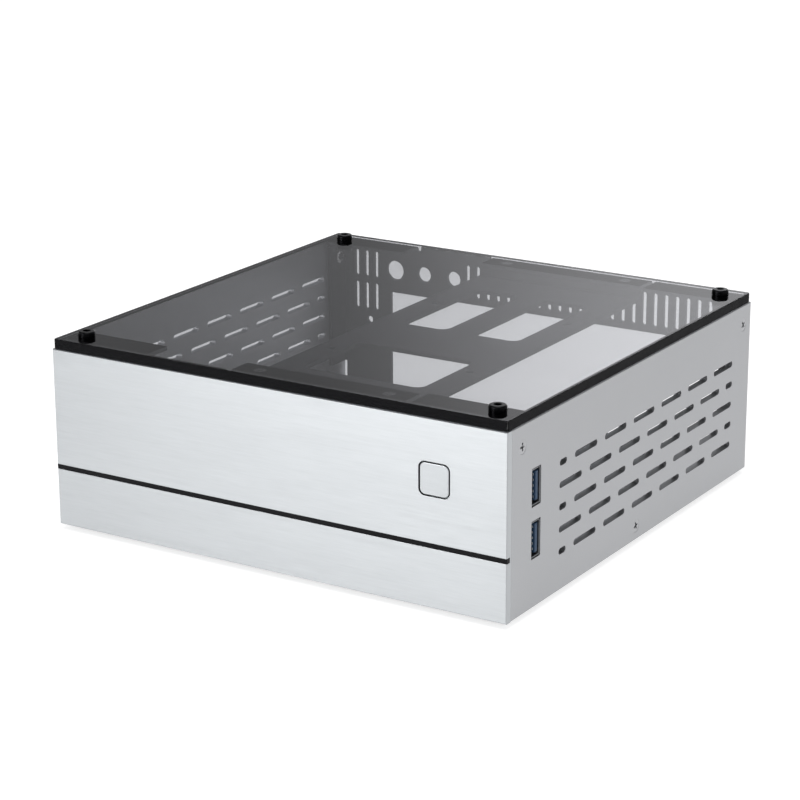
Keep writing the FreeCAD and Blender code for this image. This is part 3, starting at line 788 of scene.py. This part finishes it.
@dataclass(frozen=True)
class CircuitBoard(Finish):
    """Glass-fibre board with green resist over copper tracks."""

    name: str = "circuit_board"
    resist: Colour = (0.012, 0.085, 0.035)
    track: Colour = (0.03, 0.16, 0.06)
    tracks_per_metre: float = 700.0
    wander_scale: float = 120.0
    gap_scale: tuple[float, float, float] = (160, 160, 90)
    weave_scale: float = 1600.0
    track_height: float = 0.03 * MM

    def make(self) -> bpy.types.Material:
        """Builds tracks as bands of two crossing patterns.

        Returns:
            The material.
        """
        shade = Shade(self.label, Metallic=0.0, IOR=1.5)
        wander = shade.noise(self.wander_scale, detail=1.0, rough=0.3)
        bands = (shade.axis(Way.Z) * self.tracks_per_metre + wander * 5.0).math("FRACT").step(0.42, 0.5)
        gaps = shade.noise(self.gap_scale, detail=1.0, rough=0.3, shift=(3.0, 3.0, 9.0)).step(0.48, 0.52)
        tracks = bands * gaps
        weave = shade.noise(self.weave_scale, detail=2.0, rough=0.5)
        shade.set(Base_Color=shade.blend(tracks, self.resist, self.track))
        shade.set(Roughness=weave * 0.12 + 0.26)
        shade.relief(tracks * 0.8 + weave * 0.2, self.track_height, strength=0.5)
        return shade.material


BRUSHED = BrushedPlate()
BRUSHED_CAP = BrushedPlate(name="brushed_cap", light=(0.42, 0.436, 0.448), dark=(0.38, 0.394, 0.405))
BLASTED = BlastedPlate()
COATED = CoatedSheet()
SMOKED = SmokedSheet()
SMOKED_EDGE = SmokedSheet(name="smoked_edge", mirror=(0.1, 0.1, 0.1), grain=0.08, sawn=0.9)
INLAY = Moulded(
    "black_inlay", light=(0.007, 0.007, 0.008), dark=(0.004, 0.004, 0.005),
    roughness=0.4, texture=900.0, depth=0.006 * MM, gloss=0.1,
)
PLATED = Metal("plated_screw", light=(0.46, 0.465, 0.475), dark=(0.4, 0.405, 0.415), roughness=0.42)
ZINC = Metal("bright_zinc", light=(0.82, 0.82, 0.81), dark=(0.62, 0.62, 0.62), roughness=0.26)
BLACKENED = Metal(
    "black_screw", light=(0.014, 0.014, 0.015), dark=(0.007, 0.007, 0.008),
    roughness=0.3, grain=1800.0, depth=0.006 * MM,
)
BRASS = Metal("turned_brass", light=(0.83, 0.65, 0.33), dark=(0.66, 0.49, 0.22), roughness=0.3)
# Socket shell: its nickel is painted darker than the contact metal, as painted shade for the shaded inside of
# the socket.
SHADED_SHELL = Metal("socket_shell", light=(0.3, 0.305, 0.315), dark=(0.25, 0.255, 0.265), roughness=0.4)
CONTACT = Metal("contact_metal", light=(0.5, 0.52, 0.54), dark=(0.4, 0.42, 0.45), roughness=0.28)
BLUE = Moulded(
    "socket_tongue", light=(0.036, 0.075, 0.14), dark=(0.026, 0.058, 0.115),
    roughness=0.45, texture=1500.0, depth=0.01 * MM, gloss=0.3,
)
SWITCH_BLACK = Moulded(
    "switch_plastic", light=(0.035, 0.035, 0.036), dark=(0.02, 0.02, 0.021), roughness=0.5
)
RUBBER = Moulded(
    "foot_rubber", light=(0.03, 0.03, 0.03), dark=(0.016, 0.016, 0.016),
    roughness=0.7, texture=1300.0, depth=0.05 * MM,
)
BOARD = CircuitBoard()


class Assembly(ABC):
    """A sub-assembly of the case: it builds its pieces and dresses them."""

    @abstractmethod
    def build(self) -> None:
        """Builds the sub-assembly's pieces."""

    def hand_over(
        self,
        piece: bpy.types.Object,
        finishes: Union[Finish, Sequence[Finish]],
        slot: str,
        replaces: Sequence[str],
        body: str = "case",
        angle: float = 35.0,
    ) -> None:
        """Smooths, dresses and mounts a finished piece.

        Args:
            piece: The piece, placed in its mesh.
            finishes: Its finish, or one finish for each of its material slots.
            slot: The record's material slot; not used.
            replaces: The CAD nodes that it stands for.
            body: The CAD body that it moves with.
            angle: Edges sharper than this stay sharp, in degrees.
        """
        Bench.take(piece)
        bpy.ops.object.shade_smooth_by_angle(angle=math.radians(angle))
        Bench.modify(piece, "WEIGHTED_NORMAL", mode="FACE_AREA", weight=50, keep_sharp=True)
        finishes = [finishes] if isinstance(finishes, Finish) else list(finishes)
        indices = [polygon.material_index for polygon in piece.data.polygons]
        piece.data.materials.clear()
        for finish in finishes:
            piece.data.materials.append(finish.material)
        for polygon, index in zip(piece.data.polygons, indices):
            polygon.material_index = min(index, len(finishes) - 1)
        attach(piece, body)
        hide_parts(*replaces)
        log.info("%s: %d faces, %s", piece.name, len(piece.data.polygons), finishes[0].name)

    def dress(self, node: str, finish: Finish) -> None:
        """Gives a CAD node its finish.

        Args:
            node: The node's name.
            finish: The finish for all of it.
        """
        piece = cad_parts[node]
        piece.data.materials.clear()
        piece.data.materials.append(finish.material)
        log.info("%s: CAD node, %s", node, finish.name)

    def soften(self, node: str, name: str, width: float) -> bpy.types.Object:
        """Merges a copy of a CAD node and breaks its sharp edges, so that they catch light.

        Args:
            node: The CAD node to copy.
            name: The new piece's name.
            width: Width of the broken edge, in metres.

        Returns:
            The new piece.
        """
        piece = bpy.data.objects.new(name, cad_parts[node].data.copy())
        Bench.label(piece, name)
        bpy.context.scene.collection.objects.link(piece)
        with Bench.shaping(piece):
            bpy.ops.mesh.select_all(action="SELECT")
            bpy.ops.mesh.remove_doubles(threshold=MERGE)
            bpy.ops.mesh.customdata_custom_splitnormals_clear()
            bpy.ops.mesh.dissolve_limited(angle_limit=FLAT)
        Bench.modify(
            piece, "BEVEL", width=width, segments=2, limit_method="ANGLE", angle_limit=SHARP,
            use_clamp_overlap=True, miter_outer="MITER_ARC",
        )
        return piece


@dataclass
class Walls(Assembly):
    """Front plate with its inlay, side plates, tray and rear panel."""

    plate_break: float = 0.12 * MM
    sheet_break: float = 0.1 * MM
    inlay_break: float = 0.15 * MM

    def build(self) -> None:
        """Softens and dresses the plates and sheets."""
        for node, name, width, finish, slot in (
            ("front_panel", "front_plate", self.plate_break, BRUSHED, "brushed_plate"),
            ("left_side_panel", "left_side_plate", self.plate_break, BLASTED, "satin_plate"),
            ("right_side_panel", "right_side_plate", self.plate_break, BLASTED, "satin_plate"),
            ("base_tray", "tray_sheet", self.sheet_break, COATED, "dark_sheet"),
            ("rear_panel", "rear_sheet", self.sheet_break, COATED, "dark_sheet"),
            ("drive_bracket", "bracket_sheet", self.sheet_break, COATED, "dark_sheet"),
        ):
            piece = self.soften(node, name, width)
            self.hand_over(piece, finish, slot, [node])
        inlay = self.soften("front_inlay", "inlay_strip", self.inlay_break)
        self.hand_over(inlay, INLAY, "black_inlay", ["front_inlay"])


@dataclass
class Cover(Assembly):
    """Smoked sheet with its four black screws."""

    corner_radius: float = 1.0 * MM
    edge_break: float = 0.35 * MM
    rim_depth: float = 0.3 * MM
    hole_radius: float = 1.6 * MM
    drill_overrun: float = 1.0 * MM
    crown_break: float = 0.7 * MM
    head_foot_break: float = 0.12 * MM
    socket_across: float = 2.5 * MM
    socket_depth: float = 1.4 * MM
    mouth_depth: float = 0.22 * MM
    mouth_share: float = 0.62
    shank_radius: float = 1.5 * MM
    shank_neck: float = 0.3 * MM
    thread_pitch: float = 0.5 * MM
    thread_depth: float = 0.2 * MM

    def build(self) -> None:
        """Builds the sheet, then one screw that is copied to each corner."""
        boxes = {corner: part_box("cover_screw_" + corner) for corner in CORNERS}
        places = {corner: (low + high) / 2 for corner, (low, high) in boxes.items()}
        self._sheet(list(places.values()))
        low, high = boxes["front_left"]
        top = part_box("top_cover")[1].z
        pattern = self._screw(high.z - top, (high.x - low.x) / 2, high.z - low.z)
        for corner, middle in places.items():
            place = Matrix.Translation(Vector((middle.x, middle.y, top)))
            twin = Bench.copy(pattern, "cover_screw_head_" + corner, place)
            self.hand_over(twin, BLACKENED, "black_screw", ["cover_screw_" + corner], angle=40)
        Bench.discard(pattern)

    def _sheet(self, holes: Sequence[Vector]) -> None:
        """Builds the sheet.

        Args:
            holes: The middles of the screws that pass it.
        """
        low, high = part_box("top_cover")
        sheet = Bench.block("smoked_sheet", low, high)
        with Bench.shaping(sheet):
            Bench.bevel(sheet, Element.EDGE, Select.edges(Way.Z), self.corner_radius, segments=5)
            for level in (low.z, high.z):
                Bench.bevel(sheet, Element.EDGE, Select.level(Way.Z, level), self.edge_break, segments=2)
        for index, middle in enumerate(holes):
            base = Vector((middle.x, middle.y, low.z - self.drill_overrun))
            length = high.z - low.z + 2 * self.drill_overrun
            drill = Bench.rod(f"drill_{index}", base, Way.Z.vector, self.hole_radius, length, sides=40)
            Bench.carve(sheet, drill)
        centre = (low + high) / 2
        reach = (high - low) / 2 - Vector((self.rim_depth, self.rim_depth, 0))
        for polygon in sheet.data.polygons:
            away = polygon.center - centre
            rim = abs(away.x) > reach.x or abs(away.y) > reach.y
            polygon.material_index = 1 if rim and abs(polygon.normal.z) < STEEP else 0
        self.hand_over(sheet, [SMOKED, SMOKED_EDGE], "smoked_cover", ["top_cover"], angle=30)

    def _screw(self, head_height: float, head_radius: float, length: float) -> bpy.types.Object:
        """Builds a screw at the origin, its head standing on the plane z 0.

        Args:
            head_height: Height of the head.
            head_radius: Radius of the head.
            length: Length from the head's top to the tip.

        Returns:
            The screw.
        """
        head = Bench.rod("screw_pattern", Vector((0, 0, 0)), Way.Z.vector, head_radius, head_height, sides=64)
        with Bench.shaping(head):
            Bench.bevel(head, Element.EDGE, Select.level(Way.Z, head_height), self.crown_break, segments=6)
            Bench.bevel(head, Element.EDGE, Select.level(Way.Z, 0.0), self.head_foot_break, segments=2)
        for name, depth, radius, sides in (
            ("socket", self.socket_depth, self.socket_across / math.sqrt(3), 6),
            ("socket_mouth", self.mouth_depth, self.mouth_share * self.socket_across, 32),
        ):
            base = Vector((0, 0, head_height - depth))
            Bench.carve(head, Bench.rod(name, base, Way.Z.vector, radius, depth + self.drill_overrun, sides))
        return Bench.join("screw_pattern", [head, self._thread(length - head_height)])

    def _thread(self, length: float) -> bpy.types.Object:
        """Builds a threaded shank below the plane z 0.

        Args:
            length: Its length.

        Returns:
            The shank.
        """
        turns = int(length / self.thread_pitch)
        base = Vector((0, 0, -self.shank_neck))
        shank = Bench.rod("shank", base, Way.Z.vector, self.shank_radius, self.thread_pitch, sides=28)
        shrink = (self.shank_radius - self.thread_depth) / self.shank_radius
        drop = (length - self.shank_neck) / (2 * turns)
        with Bench.shaping(shank):
            Bench.pick(shank, Element.FACE, Select.faces(-Way.Z.vector))
            for _ in range(turns):
                for factor in (shrink, 1 / shrink):
                    bpy.ops.mesh.extrude_region_move(TRANSFORM_OT_translate={"value": (0, 0, -drop)})
                    bpy.ops.transform.resize(value=(factor, factor, 1))
        return shank


@dataclass
class SideFasteners(Assembly):
    """Countersunk screws of the side plates, with a cross recess."""

    head_radius: float = 2.72 * MM
    cone_height: float = 1.2 * MM
    crown: float = 0.06 * MM
    crown_steps: tuple[tuple[float, float], ...] = ((0.35 * MM, 1.0), (0.8 * MM, 0.6))
    shank_radius: float = 1.45 * MM
    shank_length: float = 3.0 * MM
    cross_length: float = 3.7 * MM
    cross_width: float = 0.95 * MM
    cross_depth: float = 1.0 * MM
    cross_rise: float = 0.5 * MM
    cross_taper: tuple[float, float] = (0.45, 0.7)
    spins: tuple[float, ...] = (2.0, 38.0, 20.0)
    screw_reach: float = 8.0 * MM

    def build(self) -> None:
        """Builds one screw that is copied to each place of both sides."""
        pattern = self._pattern()
        for side in Side:
            name = side.name.lower() + "_side_screws"
            turn = Matrix.Rotation(math.radians(90) * side.value, 4, "Y")
            copies = []
            for index, point in enumerate(self._places(name, side)):
                spin = Matrix.Rotation(math.radians(self.spins[index % len(self.spins)]), 4, "Z")
                copies.append(Bench.copy(pattern, f"{name}_{index}", Matrix.Translation(point) @ turn @ spin))
            joined = Bench.join(name.replace("_screws", "_plate_screws"), copies)
            self.hand_over(joined, PLATED, "screw_steel", [name], angle=40)
        Bench.discard(pattern)

    def _places(self, node: str, side: Side) -> list[Vector]:
        """Head middles of a side's screws, read from the CAD node.

        Args:
            node: The CAD node with the screws.
            side: The side that they are on.

        Returns:
            One point on each head's top.
        """
        low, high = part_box(node)
        face = high.x if side is Side.RIGHT else low.x
        groups: list[list[Vector]] = []
        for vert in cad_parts[node].data.vertices:
            point = vert.co.copy()
            for group in groups:
                if math.hypot(point.y - group[0].y, point.z - group[0].z) < self.screw_reach:
                    group.append(point)
                    break
            else:
                groups.append([point])
        places = []
        for group in groups:
            ys = [point.y for point in group]
            zs = [point.z for point in group]
            places.append(Vector((face, (min(ys) + max(ys)) / 2, (min(zs) + max(zs)) / 2)))
        return places

    def _pattern(self) -> bpy.types.Object:
        """Builds a screw whose head's top lies at the origin and whose shank points down.

        Returns:
            The screw.
        """
        base = Vector((0, 0, -self.cone_height))
        head = Bench.rod("side_screw_pattern", base, Way.Z.vector, self.head_radius, self.cone_height)
        with Bench.shaping(head):
            Bench.pick(head, Element.FACE, Select.faces(-Way.Z.vector))
            factor = self.shank_radius / self.head_radius
            bpy.ops.transform.resize(value=(factor, factor, 1))
            bpy.ops.mesh.extrude_region_move(TRANSFORM_OT_translate={"value": (0, 0, -self.shank_length)})
            Bench.pick(head, Element.FACE, Select.faces(Way.Z.vector))
            for width, share in self.crown_steps:
                bpy.ops.mesh.inset(thickness=width)
                bpy.ops.transform.translate(value=(0, 0, self.crown * share))
        corner = Vector((self.cross_length / 2, self.cross_width / 2, 0))
        for index in range(2):
            bar = Bench.block(
                f"cross_bar_{index}",
                -corner - Way.Z.vector * self.cross_depth,
                corner + Way.Z.vector * self.cross_rise,
            )
            with Bench.shaping(bar):
                Bench.pick(bar, Element.FACE, Select.faces(-Way.Z.vector))
                bpy.ops.transform.resize(value=(*self.cross_taper, 1))
            bar.matrix_world = Matrix.Rotation(math.radians(90) * index, 4, "Z")
            Bench.settle(bar)
            Bench.carve(head, bar)
        return head


@dataclass
class PushButton(Assembly):
    """Square cap with rounded corners, its collar and its stem."""

    cap_size: float = 12.0 * MM
    corner_radius: float = 2.1 * MM
    face_break: float = 0.35 * MM
    collar_depth: float = 3.1 * MM
    collar_size: float = 14.0 * MM
    collar_thickness: float = 1.0 * MM
    stem_radius: float = 2.5 * MM
    stem_lap: float = 0.05 * MM

    def build(self) -> None:
        """Builds the button as one piece with three shells, and dresses the switch behind it."""
        low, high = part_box("power_button")
        middle = (low + high) / 2
        start = low.y + self.collar_depth
        end = start + self.collar_thickness
        cap = self._slab("push_button", middle, low.y, start, self.cap_size)
        with Bench.shaping(cap):
            Bench.bevel(cap, Element.EDGE, Select.level(Way.Y, low.y), self.face_break, segments=4)
        collar = self._slab("collar", middle, start, end, self.collar_size)
        base = Vector((middle.x, end - self.stem_lap, middle.z))
        stem = Bench.rod("stem", base, Way.Y.vector, self.stem_radius, high.y - base.y, sides=40)
        button = Bench.join("push_button", [cap, collar, stem])
        self.hand_over(button, BRUSHED_CAP, "button_metal", ["power_button"], body="button", angle=30)
        for part, finish in (
            ("plunger", SWITCH_BLACK),
            ("body", SWITCH_BLACK),
            ("board", BOARD),
            ("board_posts", BRASS),
            ("board_screws", ZINC),
        ):
            self.dress("switch_" + part, finish)

    def _slab(self, name: str, middle: Vector, front: float, rear: float, size: float) -> bpy.types.Object:
        """Builds a square slab with rounded corners.

        Args:
            name: Its name.
            middle: Its middle across and up.
            front: Its front face's depth.
            rear: Its rear face's depth.
            size: Its width and height.

        Returns:
            The slab.
        """
        half = size / 2
        low = Vector((middle.x - half, front, middle.z - half))
        high = Vector((middle.x + half, rear, middle.z + half))
        slab = Bench.block(name, low, high)
        with Bench.shaping(slab):
            Bench.bevel(slab, Element.EDGE, Select.edges(Way.Y), self.corner_radius, segments=8)
        return slab


@dataclass(frozen=True)
class PadRow:
    """A row of contacts: how many, how far apart, and each one's width and its ends behind the mouth."""

    count: int
    pitch: float
    width: float
    start: float
    end: float


@dataclass
class UsbPort(Assembly):
    """Upright socket in the right side: folded shell, blue tongue and two rows of contacts."""

    level: str
    wall: float = 0.32 * MM
    bend: float = 0.8 * MM
    lip_break: float = 0.1 * MM
    slit_rise: float = 3.2 * MM
    slit_half: float = 1.1 * MM
    slit_ends: tuple[float, float] = (6.0 * MM, 3.0 * MM)
    slit_depth: float = 0.6 * MM
    spring_half: float = 0.8 * MM
    spring_ends: tuple[float, float] = (5.8 * MM, 3.5 * MM)
    tongue_thickness: float = 1.9 * MM
    tongue_height: float = 11.1 * MM
    tongue_lap: float = 0.1 * MM
    nose_break: float = 0.35 * MM
    block_length: float = 3.0 * MM
    pad_rows: tuple[PadRow, ...] = (
        PadRow(count=5, pitch=2.1 * MM, width=0.9 * MM, start=0.0, end=2.4 * MM),
        PadRow(count=4, pitch=2.5 * MM, width=1.0 * MM, start=3.2 * MM, end=7.4 * MM),
    )
    pad_lap: float = 0.05 * MM
    pad_break: float = 0.08 * MM

    def build(self) -> None:
        """Builds shell, tongue and contacts."""
        self._shell()
        self._tongue()
        self._contacts()

    def _node(self, part: str) -> str:
        """Name of one of the port's CAD nodes."""
        return f"usb_{self.level}_{part}"

    def _shell(self) -> None:
        """Builds the folded shell, with two springs pressed into each wide side."""
        low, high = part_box(self._node("shell"))
        shell = Bench.block(f"socket_shell_{self.level}", low, high)
        with Bench.shaping(shell):
            Bench.bevel(shell, Element.EDGE, Select.edges(Way.X), self.bend, segments=5)
            Bench.pick(shell, Element.FACE, Select.ends(Way.X))
            bpy.ops.mesh.delete(type="FACE")
        Bench.modify(shell, "SOLIDIFY", thickness=self.wall, offset=-1.0, use_even_offset=True)
        with Bench.shaping(shell):
            Bench.bevel(shell, Element.FACE, Select.level(Way.X, high.x), self.lip_break, segments=2)
        for face_y, inner_y in ((low.y, low.y + self.wall), (high.y, high.y - self.wall)):
            for step in (-1, 1):
                middle_z = (low.z + high.z) / 2 + step * self.slit_rise
                slit = Bench.block(
                    "slit",
                    Vector((low.x + self.slit_ends[0], face_y - self.slit_depth, middle_z - self.slit_half)),
                    Vector((high.x - self.slit_ends[1], face_y + self.slit_depth, middle_z + self.slit_half)),
                )
                Bench.carve(shell, slit)
                near, far = sorted((face_y, inner_y))
                spring = Bench.block(
                    "spring",
                    Vector((low.x + self.spring_ends[0], near, middle_z - self.spring_half)),
                    Vector((high.x - self.spring_ends[1], far, middle_z + self.spring_half)),
                )
                shell = Bench.join(shell.name, [shell, spring])
        # The shell's darkened nickel is painted shade.
        self.hand_over(shell, SHADED_SHELL, "socket_shell", [self._node("shell")])

    def _tongue(self) -> None:
        """Builds the block at the shell's end and the tongue with its chamfered nose."""
        name = f"socket_tongue_{self.level}"
        low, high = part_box(self._node("tongue"))
        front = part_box(self._node("contacts"))[1].y
        middle_z = (low.z + high.z) / 2
        block_end = low.x + self.block_length
        block = Bench.block(name, low, Vector((block_end, high.y, high.z)))
        tongue = Bench.block(
            "tongue",
            Vector((block_end - self.tongue_lap, front, middle_z - self.tongue_height / 2)),
            Vector((high.x, front + self.tongue_thickness, middle_z + self.tongue_height / 2)),
        )
        with Bench.shaping(tongue):
            Bench.bevel(tongue, Element.FACE, Select.faces(Way.X.vector), self.nose_break, segments=2)
        joined = Bench.join(name, [block, tongue])
        self.hand_over(joined, BLUE, "socket_tongue", [self._node("tongue")])

    def _contacts(self) -> None:
        """Builds a row of short pads at the tip and a row of longer ones behind it."""
        low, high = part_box(self._node("contacts"))
        middle_z = (low.z + high.z) / 2
        pads = []
        for row in self.pad_rows:
            for index in range(row.count):
                z = middle_z + (index - (row.count - 1) / 2) * row.pitch
                pad = Bench.block(
                    f"pad_{row.count}_{index}",
                    Vector((high.x - row.end, low.y, z - row.width / 2)),
                    Vector((high.x - row.start, high.y + self.pad_lap, z + row.width / 2)),
                )
                with Bench.shaping(pad):
                    Bench.bevel(pad, Element.FACE, Select.faces(-Way.Y.vector), self.pad_break, segments=2)
                pads.append(pad)
        joined = Bench.join(f"socket_contacts_{self.level}", pads)
        self.hand_over(joined, CONTACT, "contact_metal", [self._node("contacts")])


@dataclass
class Feet(Assembly):
    """Rubber feet with rounded rims."""

    rim: float = 0.5 * MM
    tip_share: float = 0.87

    def build(self) -> None:
        """Builds one foot in each corner."""
        for corner in CORNERS:
            node = "foot_" + corner
            low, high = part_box(node)
            middle = (low + high) / 2
            radius = (high.x - low.x) / 2
            base = Vector((middle.x, middle.y, low.z))
            foot = Bench.rod("rubber_foot_" + corner, base, Way.Z.vector, radius, high.z - low.z, sides=56)
            with Bench.shaping(foot):
                Bench.pick(foot, Element.FACE, Select.faces(-Way.Z.vector))
                bpy.ops.transform.resize(value=(self.tip_share, self.tip_share, 1))
                Bench.bevel(foot, Element.EDGE, Select.level(Way.Z, low.z), self.rim, segments=4)
            self.hand_over(foot, RUBBER, "foot_rubber", [node])


@dataclass
class Internals(Assembly):
    """What the case carries inside, dressed as it is in the CAD model."""

    finishes: dict[str, Finish] = field(
        default_factory=lambda: {
            "usb_board": BOARD,
            "usb_board_posts": BRASS,
            "usb_board_screws": ZINC,
            "board_seats": BRASS,
            "left_side_nuts": ZINC,
            "right_side_nuts": ZINC,
            "cover_nuts": BLACKENED,
            "front_panel_screws": ZINC,
            "drive_bracket_screws": BLACKENED,
            "rear_panel_screws": ZINC,
        }
    )

    def build(self) -> None:
        """Dresses each node."""
        for node, finish in self.finishes.items():
            self.dress(node, finish)


@dataclass(frozen=True)
class Lamp:
    """A square soft lamp: its place and width in metres, its power in watts."""

    name: str
    place: tuple[float, float, float]
    size: float
    power: float


@dataclass
class Studio:
    """Pale floor, soft lights and the camera at the photograph's angle."""

    floor_size: float = 14.0
    floor_drop: float = 0.05 * MM
    floor_colour: Colour = (0.55, 0.55, 0.55)
    floor_glow: float = 0.71
    floor_cloud: float = 3.0
    floor_lift: float = 1.01
    room_colour: Colour = (0.985, 0.99, 1.02)
    room_low: float = 0.62
    room_high: float = 0.27
    room_turn: tuple[float, float] = (0.06, 0.24)
    left_dim: float = 0.5
    left_turn: tuple[float, float] = (-0.85, -0.45)
    left_near: tuple[float, float] = (-0.2, 0.3)
    window_light: float = 0.72
    window_left: tuple[float, float] = (-0.55, -0.388)
    window_right: tuple[float, float] = (-0.1, 0.25)
    window_near: tuple[float, float] = (0.2, 0.6)
    lamps: tuple[Lamp, ...] = (
        Lamp("top", place=(0.2, -0.2, 2.8), size=1.8, power=40.0),
        Lamp("front", place=(-1.02, -2.1, 0.45), size=0.8, power=19.0),
    )
    focal_pixels: float = 2570.3
    picture_pixels: float = 800.0
    sensor_width: float = 36.0
    azimuth: float = 31.896
    elevation: float = 17.399
    roll: float = -0.226
    distance: float = 1033.8 * MM
    right: float = -5.08 * MM
    up: float = 38.03 * MM
    foot_height: float = 2.0 * MM

    def build(self) -> None:
        """Builds floor, room light, lamps and camera."""
        self._floor()
        self._room()
        for lamp in self.lamps:
            self._light(lamp)
        self._camera()
        bpy.context.scene.view_settings.view_transform = "Standard"
        bpy.context.scene.view_settings.look = "None"

    def _floor(self) -> None:
        """Adds the floor."""
        Bench.clear()
        bpy.ops.mesh.primitive_plane_add(size=self.floor_size, location=(0, 0, -self.floor_drop))
        floor = Bench.settle(bpy.context.object)
        floor.name = "floor"
        shade = Shade("studio_floor", Roughness=0.8, IOR=1.3)
        shade.set(Emission_Color=(1.0, 1.0, 1.0), Emission_Strength=self.floor_glow)
        cloud = shade.noise(self.floor_cloud, detail=2.0, rough=0.5)
        lighter = [part * self.floor_lift for part in self.floor_colour]
        shade.set(Base_Color=shade.blend(cloud, self.floor_colour, lighter))
        floor.data.materials.append(shade.material)

    def _room(self) -> None:
        """Sets the room's light: bright at the horizon, dimmer above and to the left, with a soft window."""
        world = bpy.data.worlds.new("studio_room")
        world.use_nodes = True
        graph = Graph(world.node_tree)
        direction = graph.node("ShaderNodeTexCoord").outputs["Generated"]
        split = graph.node("ShaderNodeSeparateXYZ", None, {0: direction})
        across, away, height = (Wire(graph, output) for output in split.outputs)
        room = height.step(*self.room_turn) * (self.room_high - self.room_low) + self.room_low
        shade = (1.0 - across.step(*self.left_turn)) * (1.0 - away.step(*self.left_near))
        window = across.step(*self.window_left) * (1.0 - across.step(*self.window_right))
        window = window * away.step(*self.window_near)
        strength = room * (1.0 - shade * self.left_dim) + window * self.window_light
        light = graph.node("ShaderNodeBackground", None, {"Color": self.room_colour, "Strength": strength})
        output = graph.node("ShaderNodeOutputWorld")
        graph.tree.links.new(light.outputs[0], output.inputs["Surface"])
        bpy.context.scene.world = world

    def _light(self, lamp: Lamp) -> None:
        """Adds a lamp that faces the case.

        Args:
            lamp: The lamp to add.
        """
        light = bpy.data.lights.new(lamp.name, "AREA")
        light.shape = "SQUARE"
        light.size = lamp.size
        light.energy = lamp.power
        holder = bpy.data.objects.new(lamp.name, light)
        holder.location = lamp.place
        holder.rotation_euler = (-Vector(lamp.place)).to_track_quat("-Z", "Y").to_euler()
        bpy.context.scene.collection.objects.link(holder)

    def _camera(self) -> None:
        """Adds the camera that was solved from the photograph."""
        azimuth, elevation, roll = map(math.radians, (self.azimuth, self.elevation, self.roll))
        level = math.cos(elevation)
        back = Vector((math.sin(azimuth) * level, -math.cos(azimuth) * level, math.sin(elevation)))
        side = Vector((math.cos(azimuth), math.sin(azimuth), 0))
        top = back.cross(side)
        side, top = (
            side * math.cos(roll) + top * math.sin(roll),
            top * math.cos(roll) - side * math.sin(roll),
        )
        place = back * self.distance + side * self.right + top * self.up + Vector((0, 0, self.foot_height))
        data = bpy.data.cameras.new("camera")
        data.sensor_width = self.sensor_width
        data.lens = self.focal_pixels * data.sensor_width / self.picture_pixels
        data.dof.use_dof = False
        camera = bpy.data.objects.new("camera", data)
        turn = Matrix((side, top, back)).transposed().to_4x4()
        camera.matrix_world = Matrix.Translation(place) @ turn
        bpy.context.scene.collection.objects.link(camera)
        bpy.context.scene.camera = camera


def main() -> None:
    """Builds every sub-assembly in order, then the studio."""
    logging.basicConfig(level=logging.INFO, format="%(message)s")
    assemblies: list[Assembly] = [
        Walls(),
        Cover(),
        SideFasteners(),
        PushButton(),
        UsbPort("upper"),
        UsbPort("lower"),
        Feet(),
        Internals(),
    ]
    for assembly in assemblies:
        log.info("-- %s", type(assembly).__name__)
        assembly.build()
    Studio().build()


if __name__ == "__main__":
    main()
